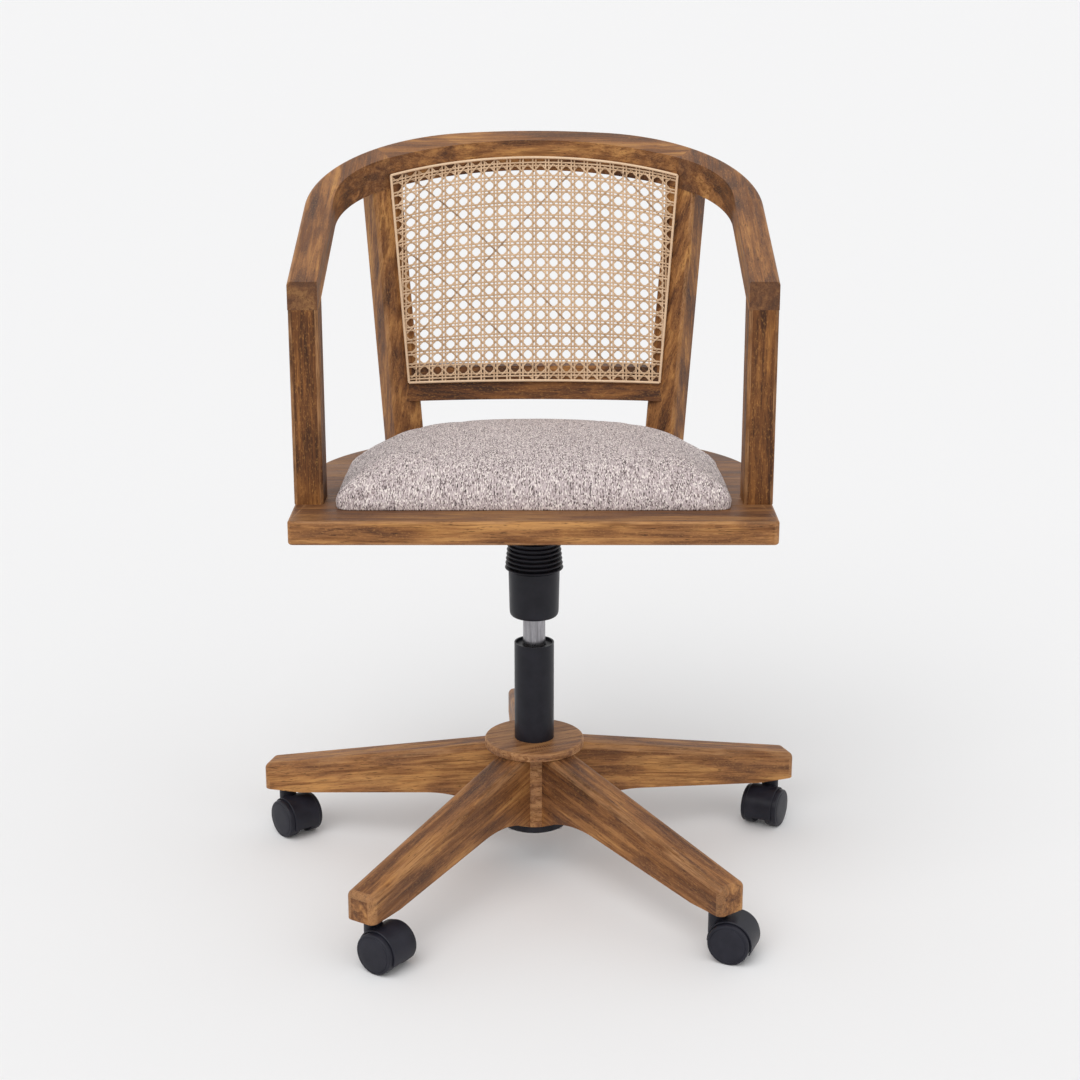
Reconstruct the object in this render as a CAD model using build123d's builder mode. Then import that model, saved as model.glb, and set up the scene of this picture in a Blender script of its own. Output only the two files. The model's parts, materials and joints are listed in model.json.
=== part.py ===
from build123d import *
import os
from math import cos, radians, sin, sqrt, tan

os.makedirs("parts", exist_ok=True)

# Swivel armchair. The floor is z = 0, the column stands on the z axis and the chair faces -y.
# The pieces stand as they do with the seat at the top of its travel.

# Fits
running_gap = 0.06
fixed_gap = 0.1
contact_gap = 0.3

# Wooden seat board
board_top = 516
board_thickness = 28
board_half_width = 276
board_front = -230
board_side_end = -38
board_corner = 6
board_edge = 3
back_corner_radius = 212
back_corner_turn = 81.6

# Bow: two arms and a crest, one sloping horseshoe with upright walls
arm_front = -158
arm_nose = 32
arm_width = 34
bow_depth = 38
bow_slope = 0.318
bow_side_end = 42
inner_side_end = 61
inner_corner_radius = 131
inner_corner_turn = 57.2
bow_edge = 4

# Arm posts, with a level shoulder under each arm
arm_post_depth = 46
arm_shoulder = 742
post_edge = 4

# Back posts, raked, splayed and turned towards the sitter
back_post_width = 41
back_post_depth = 36
back_post_turn = 31
foot_x = 166
foot_y = 122
head_x = 194
head_y = 186

# Lower back rail and cane panel
rail_bottom = 577
rail_height = 41
rail_thickness = 22
cane_thickness = 2.5
cane_top_half = 182
cane_drop = 22
cane_low_half = 160
cane_low_z = 600
cane_low_corner_y = 125.3
cane_low_sag = 13
cane_pitch_x = 16
cane_pitch_z = 17
cane_hole = 10
cane_border = 16
spline_radius = 1.6

# Cushion on a plywood base
cushion_half_width = 226
cushion_front = -185
cushion_side_end = -36
cushion_corner_radius = 165
cushion_corner_turn = 75
cushion_front_corner = 32
cushion_crown = 51
cushion_side_height = 18
cushion_draw_in = 8
cushion_reach = 130
cushion_rings = 5
ply_inset = 18
ply_thickness = 12

# Dowels and wood screws
dowel_radius = 5
dowel_length = 44
crest_dowel_spread = 16
crest_dowel_depth = 11.5
post_dowel_shift = 10
post_dowel_rise = 14
screw_radius = 2.5
screw_head_radius = 5
screw_head_height = 4
post_screw_length = 62
cushion_screw_length = 34
cushion_screw_x = 140
cushion_screw_y = 80

# Seat plate: a flanged steel pan
sheet = 3
flange_x = 190
flange_y = 150
pan_x = 126
pan_y = 86
pan_depth = 29
plate_corner = 14
plate_screw_x = 79
plate_screw_y = 59
plate_screw_length = 26
socket_radius = 21
socket_length = 38

# Release lever and pin, on the sitter's right
lever_side = -1
lever_width = 12
lever_thickness = 4
lever_pivot_x = 45
lever_pivot_radius = 2.5
lever_tail_x = 205
lever_drop = 12
lever_rod_radius = 4
grip_length = 62
grip_radius = 7
pin_radius = 4
pin_stand = 5.6
pin_gap = 0.6

# Gas lift
tube_radius = 25
tube_wall = 2
tube_top = 294
cylinder_radius = 14
cylinder_wall = 3
cylinder_bottom = 178
cylinder_cap = 8
cylinder_plug = 16
taper_shrink = 0.8
bush_length = 65
bush_recess = 3
rod_radius = 5
piston_height = 14
piston_rise = 7
collar_radius = 9
collar_height = 3
bearing_radius = 15
bearing_height = 3
stop_radius = 12
stop_height = 7
clip_radius = 9
clip_height = 1.6
clip_groove = 1

# Dust boot: a cup with ribs above it
boot_bottom = 330
boot_bore = 27
cup_radius = 32
cup_height = 60
cup_edge = 5
rib_count = 8
rib_pitch = 5.7
rib_root = 30.5
rib_low_radius = 36.4
rib_shrink = 0.6
boot_collar_height = 14
boot_collar_radius = 27

# Five-legged wooden base
leg_count = 5
star_turn = 3
hub_top = 166.5
hub_disc_radius = 63
hub_disc_height = 10
hub_core_radius = 45
hub_bottom = 60
hub_edge = 2.5
hub_plate_radius = 43
hub_plate_height = 10
hub_plate_hole = 12
hub_screw_ring = 35
hub_screw_count = 3
hub_screw_length = 24
leg_reach = 366
leg_width = 40
leg_tip_top = 95
leg_tip_bottom = 61
leg_pad = 50
leg_waist_reach = 140
leg_waist_z = 81
leg_root_reach = 40
leg_top_reach = 58
leg_edge = 8
leg_dowel_radius = 6
leg_dowel_start = 31
leg_dowel_low = 88
leg_dowel_high = 128

# Twin-wheel casters
stem_inset = 25
stem_radius = 5.5
stem_rise = 25
stem_flange_radius = 9
stem_flange_height = 2
caster_offset = 20
wheel_radius = 25
wheel_outside = 25.5
wheel_gap = 0.5
wheel_edge = 1.5
wheel_rim = 3.5
wheel_step = 0.8
axle_radius = 3
hood_web = 8
hood_half_width = 18.5
hood_radius = 27.2
hood_shell = 1.5
hood_edge = 0.7
hood_lip = 14
boss_radius = 11
boss_bottom = 27
boss_slant = 0.75
caster_axle_angles = (118, 40, 54, 68, -27)
stem_reach = leg_reach - stem_inset

upwards = (Align.CENTER, Align.CENTER, Align.MIN)
downwards = (Align.CENTER, Align.CENTER, Align.MAX)
sides = {"left": -1, "right": 1}


def save(builder, name):
    builder.part.label = name
    export_step(builder.part, f"parts/{name}.step")


def crest_radius(half_width, corner_radius, corner_turn):
    return corner_radius + (half_width - corner_radius) / cos(radians(corner_turn))


def crest_centre(half_width, side_end, corner_radius, corner_turn):
    flat_radius = crest_radius(half_width, corner_radius, corner_turn)
    return side_end + (corner_radius - flat_radius) * sin(radians(corner_turn))


def rounded_back(half_width, front, side_end, corner_radius, corner_turn):
    # Straight front and sides, two corner arcs and a flatter arc between them.
    flat_radius = crest_radius(half_width, corner_radius, corner_turn)
    flat_y = crest_centre(half_width, side_end, corner_radius, corner_turn)
    corner_x = half_width - corner_radius
    Line((-half_width, front), (half_width, front))
    Line((half_width, front), (half_width, side_end))
    CenterArc((corner_x, side_end), corner_radius, 0, corner_turn)
    CenterArc((0, flat_y), flat_radius, corner_turn, 180 - 2 * corner_turn)
    CenterArc((-corner_x, side_end), corner_radius, 180 - corner_turn, corner_turn)
    Line((-half_width, side_end), (-half_width, front))


def upright_screw(place, length):
    with Locations(place):
        Cylinder(screw_head_radius, screw_head_height, align=upwards)
        Cylinder(screw_radius, length, align=upwards)


def screw_hole(place, length):
    with Locations(place):
        Cylinder(screw_head_radius + fixed_gap, screw_head_height, align=upwards, mode=Mode.SUBTRACT)
        Cylinder(screw_radius + fixed_gap, length + fixed_gap, align=upwards, mode=Mode.SUBTRACT)


def bow_top_at(y):
    return arm_top + (y - arm_front) * bow_slope


# Levels and planes that several pieces share
board_bottom = board_top - board_thickness
arm_top = arm_shoulder + arm_nose
bow_normal = (0, -bow_slope, 1)
bow_top_plane = Plane(origin=(0, arm_front, arm_top), x_dir=(1, 0, 0), z_dir=bow_normal)
bow_low_plane = Plane(origin=(0, arm_front, arm_top - bow_depth), x_dir=(1, 0, 0), z_dir=bow_normal)
inner_half_width = board_half_width - arm_width
inner_radius = crest_radius(inner_half_width, inner_corner_radius, inner_corner_turn)
inner_centre = crest_centre(inner_half_width, inner_side_end, inner_corner_radius, inner_corner_turn)
arm_back = arm_front + arm_post_depth
arm_middle = (arm_front + arm_back) / 2
arm_x = board_half_width - arm_width / 2
head_z = bow_top_at(head_y) - bow_depth
post_run = Vector(head_x - foot_x, head_y - foot_y, head_z - board_top)


def joint_plane(side):
    # Radial joint between the crest and one arm, facing that arm.
    turn = radians(90 - inner_corner_turn)
    return Plane(origin=(0, inner_centre, 0), z_dir=(side * cos(turn), -sin(turn), 0))


def post_plane(side):
    turn = radians(back_post_turn)
    return Plane(origin=(side * foot_x, foot_y, board_top), x_dir=(cos(turn), -side * sin(turn), 0), z_dir=(0, 0, 1))


# Dowel places, each the middle of a dowel that lies along its plane's normal
crest_joint_radius = inner_radius + arm_width / 2
joint_turn = radians(90 - inner_corner_turn)
joint_tangent = (cos(joint_turn), -sin(joint_turn), -sin(joint_turn) * bow_slope)
arm_dowels = {}
post_dowels = {}
crest_dowels = {}
for name, side in sides.items():
    along = (side * joint_tangent[0], joint_tangent[1], joint_tangent[2])
    crest_dowels[name] = []
    for radius in (crest_joint_radius - crest_dowel_spread / 2, crest_joint_radius + crest_dowel_spread / 2):
        dowel_x = side * radius * sin(joint_turn)
        dowel_y = inner_centre + radius * cos(joint_turn)
        dowel_z = bow_top_at(dowel_y) - crest_dowel_depth
        crest_dowels[name].append(Plane(origin=(dowel_x, dowel_y, dowel_z), z_dir=along))
    arm_dowels[name] = Plane(origin=(side * arm_x, arm_middle, arm_shoulder), z_dir=(0, 0, 1))
    dowel_x = side * (head_x + post_dowel_shift * cos(radians(back_post_turn)))
    dowel_y = head_y - post_dowel_shift * sin(radians(back_post_turn))
    dowel_z = bow_top_at(dowel_y) - bow_depth
    head_plane = Plane(origin=(dowel_x, dowel_y, dowel_z), z_dir=(side * post_run.X, post_run.Y, post_run.Z))
    post_dowels[name] = head_plane.offset(post_dowel_rise - dowel_length / 2)


def dowel_hole(place):
    with Locations(place):
        Cylinder(dowel_radius + fixed_gap, dowel_length + 2 * fixed_gap, mode=Mode.SUBTRACT)


# Screw places: heads let into the underside of the board
arm_screw_places = {name: (side * arm_x, arm_middle, board_bottom) for name, side in sides.items()}
back_screw_places = {name: (side * foot_x, foot_y, board_bottom) for name, side in sides.items()}
cushion_screw_places = [
    (side * cushion_screw_x, end * cushion_screw_y - ply_inset, board_bottom)
    for side in (-1, 1)
    for end in (-1, 1)
]
plate_screw_places = [
    (side * plate_screw_x, end * plate_screw_y, board_bottom - sheet)
    for side in (-1, 1)
    for end in (-1, 1)
]

# Seat board
with BuildPart() as seat_board:
    with BuildSketch(Plane.XY.offset(board_bottom)) as board_outline:
        with BuildLine():
            rounded_back(board_half_width, board_front, board_side_end, back_corner_radius, back_corner_turn)
        make_face()
        fillet(board_outline.vertices().group_by(Axis.Y)[0], board_corner)
    extrude(amount=board_thickness)
    fillet(seat_board.faces().filter_by(Axis.Z).edges(), board_edge)
    for place in [*arm_screw_places.values(), *back_screw_places.values()]:
        screw_hole(place, board_thickness)
    for place in cushion_screw_places:
        screw_hole(place, board_thickness)
    for x, y, z in plate_screw_places:
        with Locations((x, y, board_bottom)):
            Cylinder(screw_radius + fixed_gap, plate_screw_length - sheet, align=upwards, mode=Mode.SUBTRACT)
save(seat_board, "seat_board")

# Arm posts
for name, side in sides.items():
    with BuildPart() as arm_post:
        with BuildSketch(Plane.YZ.offset(side * arm_x)):
            with BuildLine():
                Polyline(
                    (arm_front, board_top),
                    (arm_front, arm_shoulder),
                    (arm_front + (arm_shoulder - arm_top + bow_depth) / bow_slope, arm_shoulder),
                    (arm_back, bow_top_at(arm_back) - bow_depth),
                    (arm_back, board_top),
                    close=True,
                )
            make_face()
        extrude(amount=arm_width / 2, both=True)
        fillet(arm_post.edges().filter_by(Axis.Z), post_edge)
        screw_hole(arm_screw_places[name], post_screw_length)
        dowel_hole(arm_dowels[name])
    save(arm_post, f"{name}_arm_post")

# Back posts
back_posts = {}
for name, side in sides.items():
    with BuildPart() as back_post:
        with BuildSketch(post_plane(side)) as post_section:
            RectangleRounded(back_post_width, back_post_depth, post_edge)
        extrude(amount=post_run.length + bow_depth, dir=(side * post_run.X, post_run.Y, post_run.Z))
        split(bisect_by=bow_low_plane, keep=Keep.BOTTOM)
        screw_hole(back_screw_places[name], post_screw_length)
        dowel_hole(post_dowels[name])
    back_posts[name] = back_post
    save(back_post, f"{name}_back_post")


def bow_band():
    # The whole bow, cut level over the arm posts.
    with BuildSketch(Plane.XY.offset(arm_shoulder)) as band_outline:
        with BuildLine():
            rounded_back(board_half_width, arm_front, bow_side_end, back_corner_radius, back_corner_turn)
        make_face()
        with BuildLine():
            rounded_back(inner_half_width, arm_front, inner_side_end, inner_corner_radius, inner_corner_turn)
        make_face(mode=Mode.SUBTRACT)
    extrude(band_outline.sketch, amount=bow_top_at(head_y + back_corner_radius) - arm_shoulder)
    split(bisect_by=bow_top_plane, keep=Keep.BOTTOM)
    band = split(bisect_by=bow_low_plane, keep=Keep.TOP)
    fillet(band.faces().sort_by(Axis.Z)[-1].edges(), bow_edge)


# Bow crest and arms
with BuildPart() as bow_crest:
    bow_band()
    for side in sides.values():
        split(bisect_by=joint_plane(side), keep=Keep.BOTTOM)
    for places in crest_dowels.values():
        for place in places:
            dowel_hole(place)
save(bow_crest, "bow_crest")

for name, side in sides.items():
    with BuildPart() as bow_arm:
        bow_band()
        split(bisect_by=joint_plane(side), keep=Keep.TOP)
        for place in [*crest_dowels[name], arm_dowels[name], post_dowels[name]]:
            dowel_hole(place)
    save(bow_arm, f"bow_{name}_arm")

with BuildPart() as bow_dowels:
    for name in sides:
        for place in [*crest_dowels[name], arm_dowels[name], post_dowels[name]]:
            with Locations(place):
                Cylinder(dowel_radius, dowel_length)
save(bow_dowels, "bow_dowels")

# Cane panel: a sheet ruled from the crest's inner wall to the lower rail, with the open gaps of the weave
cane_top_y = inner_centre + inner_radius - contact_gap
cane_corner_y = inner_centre + sqrt(inner_radius**2 - cane_top_half**2) - contact_gap
cane_top_z = bow_top_at(cane_top_y) - cane_drop
cane_corner_z = bow_top_at(cane_corner_y) - cane_drop
cane_low_y = cane_low_corner_y + cane_low_sag
with BuildLine() as cane_top_line:
    ThreePointArc(
        (-cane_top_half, cane_corner_y, cane_corner_z),
        (0, cane_top_y, cane_top_z),
        (cane_top_half, cane_corner_y, cane_corner_z),
    )
with BuildLine() as cane_low_line:
    ThreePointArc(
        (-cane_low_half, cane_low_corner_y, cane_low_z),
        (0, cane_low_y, cane_low_z),
        (cane_low_half, cane_low_corner_y, cane_low_z),
    )
with BuildLine() as cane_side_lines:
    for side in sides.values():
        Line((side * cane_top_half, cane_corner_y, cane_corner_z), (side * cane_low_half, cane_low_corner_y, cane_low_z))


def inside_weave(x, z):
    # True where a gap keeps the plain border of the sheet.
    rise = (z - cane_low_z) / (cane_corner_z - cane_low_z)
    half_width = cane_low_half + rise * (cane_top_half - cane_low_half)
    top_edge = cane_top_z - (cane_top_z - cane_corner_z) * (x / cane_top_half) ** 2
    return abs(x) + cane_border <= half_width and z + cane_border <= top_edge


cane_columns = int(cane_top_half / cane_pitch_x)
cane_rows = int((cane_top_z - cane_low_z) / cane_pitch_z)
cane_gaps = [
    (column * cane_pitch_x, cane_low_z + cane_border + row * cane_pitch_z)
    for row in range(cane_rows)
    for column in range(-cane_columns, cane_columns + 1)
    if inside_weave(column * cane_pitch_x, cane_low_z + cane_border + row * cane_pitch_z)
]
with BuildPart() as weave_gaps:
    with BuildSketch(Plane.XZ):
        with Locations(*cane_gaps):
            Rectangle(cane_hole, cane_hole)
    extrude(amount=-2 * cane_top_y)
cane_sheet = Face.make_surface_from_curves(cane_top_line.edge(), cane_low_line.edge())
cane_net = cane_sheet - weave_gaps.part
with BuildPart() as cane_panel:
    extrude(cane_net.face(), amount=cane_thickness, dir=(0, -1, 0))
save(cane_panel, "cane_panel")

# Spline beading over the edge of the cane
with BuildPart() as cane_spline:
    for edge in [*cane_top_line.edges(), *cane_low_line.edges(), *cane_side_lines.edges()]:
        bead = edge.moved(Location((0, -cane_thickness - spline_radius - contact_gap, 0)))
        with BuildSketch(Plane(origin=bead @ 0, z_dir=bead % 0)):
            Circle(spline_radius)
        sweep(path=bead)
        for end in (bead @ 0, bead @ 1):
            with Locations(end):
                Sphere(spline_radius)
save(cane_spline, "cane_spline")

# Lower back rail, raked like the middle of the cane, let in between the posts
cane_rake = (cane_top_y - cane_low_y) / (cane_top_z - cane_low_z)
rail_radius = (cane_low_half**2 + cane_low_sag**2) / (2 * cane_low_sag)
rail_front = cane_low_y + contact_gap - (cane_low_z - rail_bottom) * cane_rake
with BuildPart() as lower_back_rail:
    with BuildSketch(Plane(origin=(0, rail_front - rail_radius, rail_bottom))):
        Circle(rail_radius + rail_thickness)
        Circle(rail_radius, mode=Mode.SUBTRACT)
        with Locations((0, rail_radius)):
            Rectangle(2 * foot_x + back_post_depth / 2, rail_radius, mode=Mode.INTERSECT)
    extrude(amount=rail_height * sqrt(1 + cane_rake**2), dir=(0, cane_rake, 1))
    for back_post in back_posts.values():
        add(back_post.part, mode=Mode.SUBTRACT)
save(lower_back_rail, "lower_back_rail")


def cushion_outline(level, inset):
    with BuildSketch(Plane.XY.offset(level)) as outline:
        with BuildLine():
            rounded_back(
                cushion_half_width - inset,
                cushion_front + inset,
                cushion_side_end,
                cushion_corner_radius - inset,
                cushion_corner_turn,
            )
        make_face()
        fillet(outline.vertices().group_by(Axis.Y)[0], cushion_front_corner)
    return outline.sketch


# Cushion: drawn in at the board, full at its side and crowned, over a plywood base
ply_outline_inset = ply_inset + cushion_draw_in
cushion_levels = [
    cushion_outline(board_top, cushion_draw_in),
    cushion_outline(board_top + cushion_side_height / 2, cushion_draw_in / 5),
]
for ring in range(cushion_rings):
    turn = radians(80 * ring / (cushion_rings - 1))
    swell = (cushion_crown - cushion_side_height) * sin(turn)
    inset = cushion_reach * (1 - cos(turn))
    cushion_levels.append(cushion_outline(board_top + cushion_side_height + swell, inset))
ply_recess = cushion_outline(board_top, ply_outline_inset - contact_gap)
with BuildPart() as seat_cushion:
    loft(cushion_levels)
    extrude(ply_recess, amount=ply_thickness + contact_gap, mode=Mode.SUBTRACT)
save(seat_cushion, "seat_cushion")

with BuildPart() as cushion_base:
    extrude(cushion_outline(board_top, ply_outline_inset), amount=ply_thickness)
    for place in cushion_screw_places:
        screw_hole(place, cushion_screw_length)
save(cushion_base, "cushion_base")

with BuildPart() as post_screws:
    for place in [*arm_screw_places.values(), *back_screw_places.values()]:
        upright_screw(place, post_screw_length)
save(post_screws, "post_screws")

with BuildPart() as cushion_screws:
    for place in cushion_screw_places:
        upright_screw(place, cushion_screw_length)
save(cushion_screws, "cushion_screws")

# Seat plate: flange under the board and a pan that holds the taper socket
flange_bottom = board_bottom - sheet
pan_bottom = board_bottom - pan_depth
pan_floor = pan_bottom + sheet
pin_top = pan_floor + pin_stand
lever_z = pin_top + pin_gap + lever_thickness / 2
with BuildPart() as seat_plate:
    with BuildSketch(Plane.XY.offset(flange_bottom)):
        RectangleRounded(flange_x, flange_y, plate_corner)
    extrude(amount=sheet)
    with BuildSketch(Plane.XY.offset(pan_bottom)):
        RectangleRounded(pan_x, pan_y, plate_corner)
    extrude(amount=pan_depth)
    with BuildSketch(Plane.XY.offset(pan_floor)):
        RectangleRounded(pan_x - 2 * sheet, pan_y - 2 * sheet, plate_corner - sheet)
    extrude(amount=pan_depth, mode=Mode.SUBTRACT)
    with Locations((0, 0, pan_bottom)):
        Cylinder(socket_radius + fixed_gap, sheet, align=upwards, mode=Mode.SUBTRACT)
    for x, y, z in plate_screw_places:
        with Locations((x, y, z)):
            Cylinder(screw_radius + fixed_gap, sheet, align=upwards, mode=Mode.SUBTRACT)
    with Locations((lever_side * pan_x / 2, 0, lever_z)):
        Box(4 * sheet, lever_width + 2 * sheet, pan_depth - 4 * sheet, mode=Mode.SUBTRACT)
    with Locations(Plane(origin=(lever_side * lever_pivot_x, 0, lever_z), z_dir=(0, 1, 0))):
        Cylinder(lever_pivot_radius + running_gap, pan_y, mode=Mode.SUBTRACT)
save(seat_plate, "seat_plate")

with BuildPart() as seat_plate_screws:
    for x, y, z in plate_screw_places:
        with Locations((x, y, z)):
            Cylinder(screw_head_radius, screw_head_height, align=downwards)
            Cylinder(screw_radius, plate_screw_length, align=upwards)
save(seat_plate_screws, "seat_plate_screws")

# Taper socket welded in the pan's floor, on the tapered head of the gas cylinder
socket_bottom = pan_floor - socket_length
with BuildPart() as taper_socket:
    with BuildSketch(Plane.XZ):
        with BuildLine():
            Polyline(
                (cylinder_radius + fixed_gap, socket_bottom),
                (socket_radius, socket_bottom),
                (socket_radius, pan_floor),
                (cylinder_radius - taper_shrink + fixed_gap, pan_floor),
                close=True,
            )
        make_face()
    revolve(axis=Axis.Z)
save(taper_socket, "taper_socket")

# Release lever: a flat bar on a cross pivot, with a bent-down rod and a grip
lever_inner_x = -lever_width / 2
lever_bar_end = pan_x / 2 + lever_width
tail = Vector(lever_side * (lever_tail_x - lever_bar_end), 0, -lever_drop)
tail_plane = Plane(origin=(lever_side * (lever_bar_end - lever_rod_radius), 0, lever_z), z_dir=tuple(tail))
with BuildPart() as release_lever:
    with Locations((lever_side * (lever_inner_x + lever_bar_end) / 2, 0, lever_z)):
        Box(lever_bar_end - lever_inner_x, lever_width, lever_thickness)
    with Locations(Plane(origin=(lever_side * lever_pivot_x, 0, lever_z), z_dir=(0, 1, 0))):
        Cylinder(lever_pivot_radius, pan_y)
    with Locations(tail_plane):
        Cylinder(lever_rod_radius, tail.length, align=upwards)
save(release_lever, "release_lever")

with BuildPart() as lever_grip:
    grip_root = tail.length - grip_length / 2
    with BuildSketch(tail_plane.offset(grip_root)):
        Circle(grip_radius)
    extrude(amount=grip_length)
    fillet(lever_grip.edges(), lever_rod_radius)
    with Locations(tail_plane):
        Cylinder(lever_rod_radius + fixed_gap, tail.length + fixed_gap, align=upwards, mode=Mode.SUBTRACT)
save(lever_grip, "lever_grip")

# Gas lift: outer tube in the base
tube_bore = tube_radius - tube_wall
with BuildPart() as outer_tube:
    with BuildSketch(Plane.XZ):
        with BuildLine():
            Polyline(
                (rod_radius + running_gap, hub_bottom),
                (tube_radius, hub_bottom),
                (tube_radius, tube_top),
                (tube_bore, tube_top),
                (tube_bore, hub_bottom + sheet),
                (rod_radius + running_gap, hub_bottom + sheet),
                close=True,
            )
        make_face()
    revolve(axis=Axis.Z)
save(outer_tube, "outer_tube")

with BuildPart() as guide_bush:
    with Locations((0, 0, tube_top - bush_recess)):
        Cylinder(tube_bore - fixed_gap, bush_length, align=downwards)
        Cylinder(cylinder_radius + running_gap, bush_length, align=downwards, mode=Mode.SUBTRACT)
    fillet(guide_bush.edges().group_by(Axis.Z)[-1].sort_by(SortBy.RADIUS)[0], bush_recess / 2)
save(guide_bush, "guide_bush")

bearing_top = hub_bottom + sheet + bearing_height
collar_top = bearing_top + collar_height
with BuildPart() as thrust_bearing:
    with Locations((0, 0, hub_bottom + sheet)):
        Cylinder(bearing_radius, bearing_height, align=upwards)
        Cylinder(rod_radius + running_gap, bearing_height, align=upwards, mode=Mode.SUBTRACT)
save(thrust_bearing, "thrust_bearing")

with BuildPart() as bump_stop:
    with Locations((0, 0, bearing_top)):
        Cylinder(bearing_radius, collar_height + stop_height, align=upwards)
        Cylinder(collar_radius + contact_gap, collar_height + contact_gap, align=upwards, mode=Mode.SUBTRACT)
        Cylinder(rod_radius + contact_gap, collar_height + stop_height, align=upwards, mode=Mode.SUBTRACT)
save(bump_stop, "bump_stop")

# Gas cylinder, sliding on the piston rod, with the release pin in its head
cylinder_bore = cylinder_radius - cylinder_wall
with BuildPart() as gas_cylinder:
    with BuildSketch(Plane.XZ):
        with BuildLine():
            Polyline(
                (rod_radius + running_gap, cylinder_bottom),
                (cylinder_radius, cylinder_bottom),
                (cylinder_radius, socket_bottom),
                (cylinder_radius - taper_shrink, pan_floor),
                (pin_radius + running_gap, pan_floor),
                (pin_radius + running_gap, pan_floor - cylinder_plug),
                (cylinder_bore, pan_floor - cylinder_plug),
                (cylinder_bore, cylinder_bottom + cylinder_cap),
                (rod_radius + running_gap, cylinder_bottom + cylinder_cap),
                close=True,
            )
        make_face()
    revolve(axis=Axis.Z)
save(gas_cylinder, "gas_cylinder")

with BuildPart() as release_pin:
    with Locations((0, 0, pin_top)):
        Cylinder(pin_radius, pin_stand + 2 * cylinder_plug, align=downwards)
    with Locations((0, 0, pin_top - pin_stand - 2 * cylinder_plug)):
        Cylinder(cylinder_bore - pin_radius, pin_radius, align=upwards)
save(release_pin, "release_pin")

clip_top = hub_bottom - contact_gap
rod_end = clip_top - clip_height - clip_groove
piston_bottom = cylinder_bottom + cylinder_cap + piston_rise
with BuildPart() as piston_rod:
    with BuildSketch(Plane.XZ):
        with BuildLine():
            Polyline(
                (0, rod_end),
                (rod_radius, rod_end),
                (rod_radius, clip_top - clip_height),
                (rod_radius - clip_groove, clip_top - clip_height),
                (rod_radius - clip_groove, clip_top),
                (rod_radius, clip_top),
                (rod_radius, bearing_top),
                (collar_radius, bearing_top),
                (collar_radius, collar_top),
                (rod_radius, collar_top),
                (rod_radius, piston_bottom),
                (cylinder_bore - running_gap, piston_bottom),
                (cylinder_bore - running_gap, piston_bottom + piston_height),
                (0, piston_bottom + piston_height),
                close=True,
            )
        make_face()
    revolve(axis=Axis.Z)
save(piston_rod, "piston_rod")

with BuildPart() as retaining_clip:
    with Locations((0, 0, clip_top)):
        Cylinder(clip_radius, clip_height, align=downwards)
        Cylinder(rod_radius - clip_groove + running_gap, clip_height, align=downwards, mode=Mode.SUBTRACT)
save(retaining_clip, "retaining_clip")

# Dust boot: cup, ribs and a collar on the taper socket
rib_start = boot_bottom + cup_height
collar_bottom = rib_start + rib_count * rib_pitch
with BuildPart() as dust_boot:
    with Locations((0, 0, boot_bottom)):
        Cylinder(cup_radius, cup_height, align=upwards)
    fillet(dust_boot.edges().group_by(Axis.Z)[0], cup_edge - contact_gap)
    for rib in range(rib_count):
        rib_radius = rib_low_radius - rib * rib_shrink
        rib_bottom = rib_start + rib * rib_pitch
        for share, radius in ((0, rib_root), (0.35, rib_radius), (0.65, rib_radius), (1, rib_root)):
            with BuildSketch(Plane.XY.offset(rib_bottom + share * rib_pitch)):
                Circle(radius)
        loft(ruled=True)
    with Locations((0, 0, collar_bottom)):
        Cylinder(boot_collar_radius, boot_collar_height, align=upwards)
        Cylinder(socket_radius + fixed_gap, boot_collar_height, align=upwards, mode=Mode.SUBTRACT)
    with Locations((0, 0, boot_bottom)):
        Cylinder(boot_bore, collar_bottom - boot_bottom - cup_edge, align=upwards, mode=Mode.SUBTRACT)
        Cylinder(socket_radius + fixed_gap, collar_bottom - boot_bottom, align=upwards, mode=Mode.SUBTRACT)
save(dust_boot, "dust_boot")

# Base hub
disc_bottom = hub_top - hub_disc_height
leg_angles = [90 + star_turn + 360 / leg_count * index for index in range(leg_count)]
hub_screw_places = [
    (hub_screw_ring * cos(radians(angle)), hub_screw_ring * sin(radians(angle)), hub_bottom)
    for angle in (leg_angles[0] + 360 / hub_screw_count * index for index in range(hub_screw_count))
]


def leg_plane(angle, reach, level):
    # Plane that faces outwards along a leg.
    out = (cos(radians(angle)), sin(radians(angle)), 0)
    return Plane(origin=(reach * out[0], reach * out[1], level), x_dir=(-out[1], out[0], 0), z_dir=out)


leg_dowel_places = [
    leg_plane(angle, leg_dowel_start, level) for angle in leg_angles for level in (leg_dowel_low, leg_dowel_high)
]


def leg_dowel_holes():
    with Locations(*leg_dowel_places):
        Cylinder(leg_dowel_radius + fixed_gap, dowel_length + fixed_gap, align=upwards, mode=Mode.SUBTRACT)


with BuildPart() as base_hub:
    with Locations((0, 0, hub_bottom)):
        Cylinder(hub_core_radius, disc_bottom - hub_bottom, align=upwards)
    with Locations((0, 0, hub_top)):
        Cylinder(hub_disc_radius, hub_disc_height, align=downwards)
    fillet(base_hub.edges().group_by(Axis.Z)[-1], hub_edge)
    with Locations((0, 0, hub_bottom)):
        Cylinder(tube_radius + fixed_gap, hub_top - hub_bottom, align=upwards, mode=Mode.SUBTRACT)
    for place in hub_screw_places:
        with Locations(place):
            Cylinder(screw_radius + fixed_gap, hub_screw_length - hub_plate_height + fixed_gap, align=upwards, mode=Mode.SUBTRACT)
    leg_dowel_holes()
save(base_hub, "base_hub")

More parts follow.
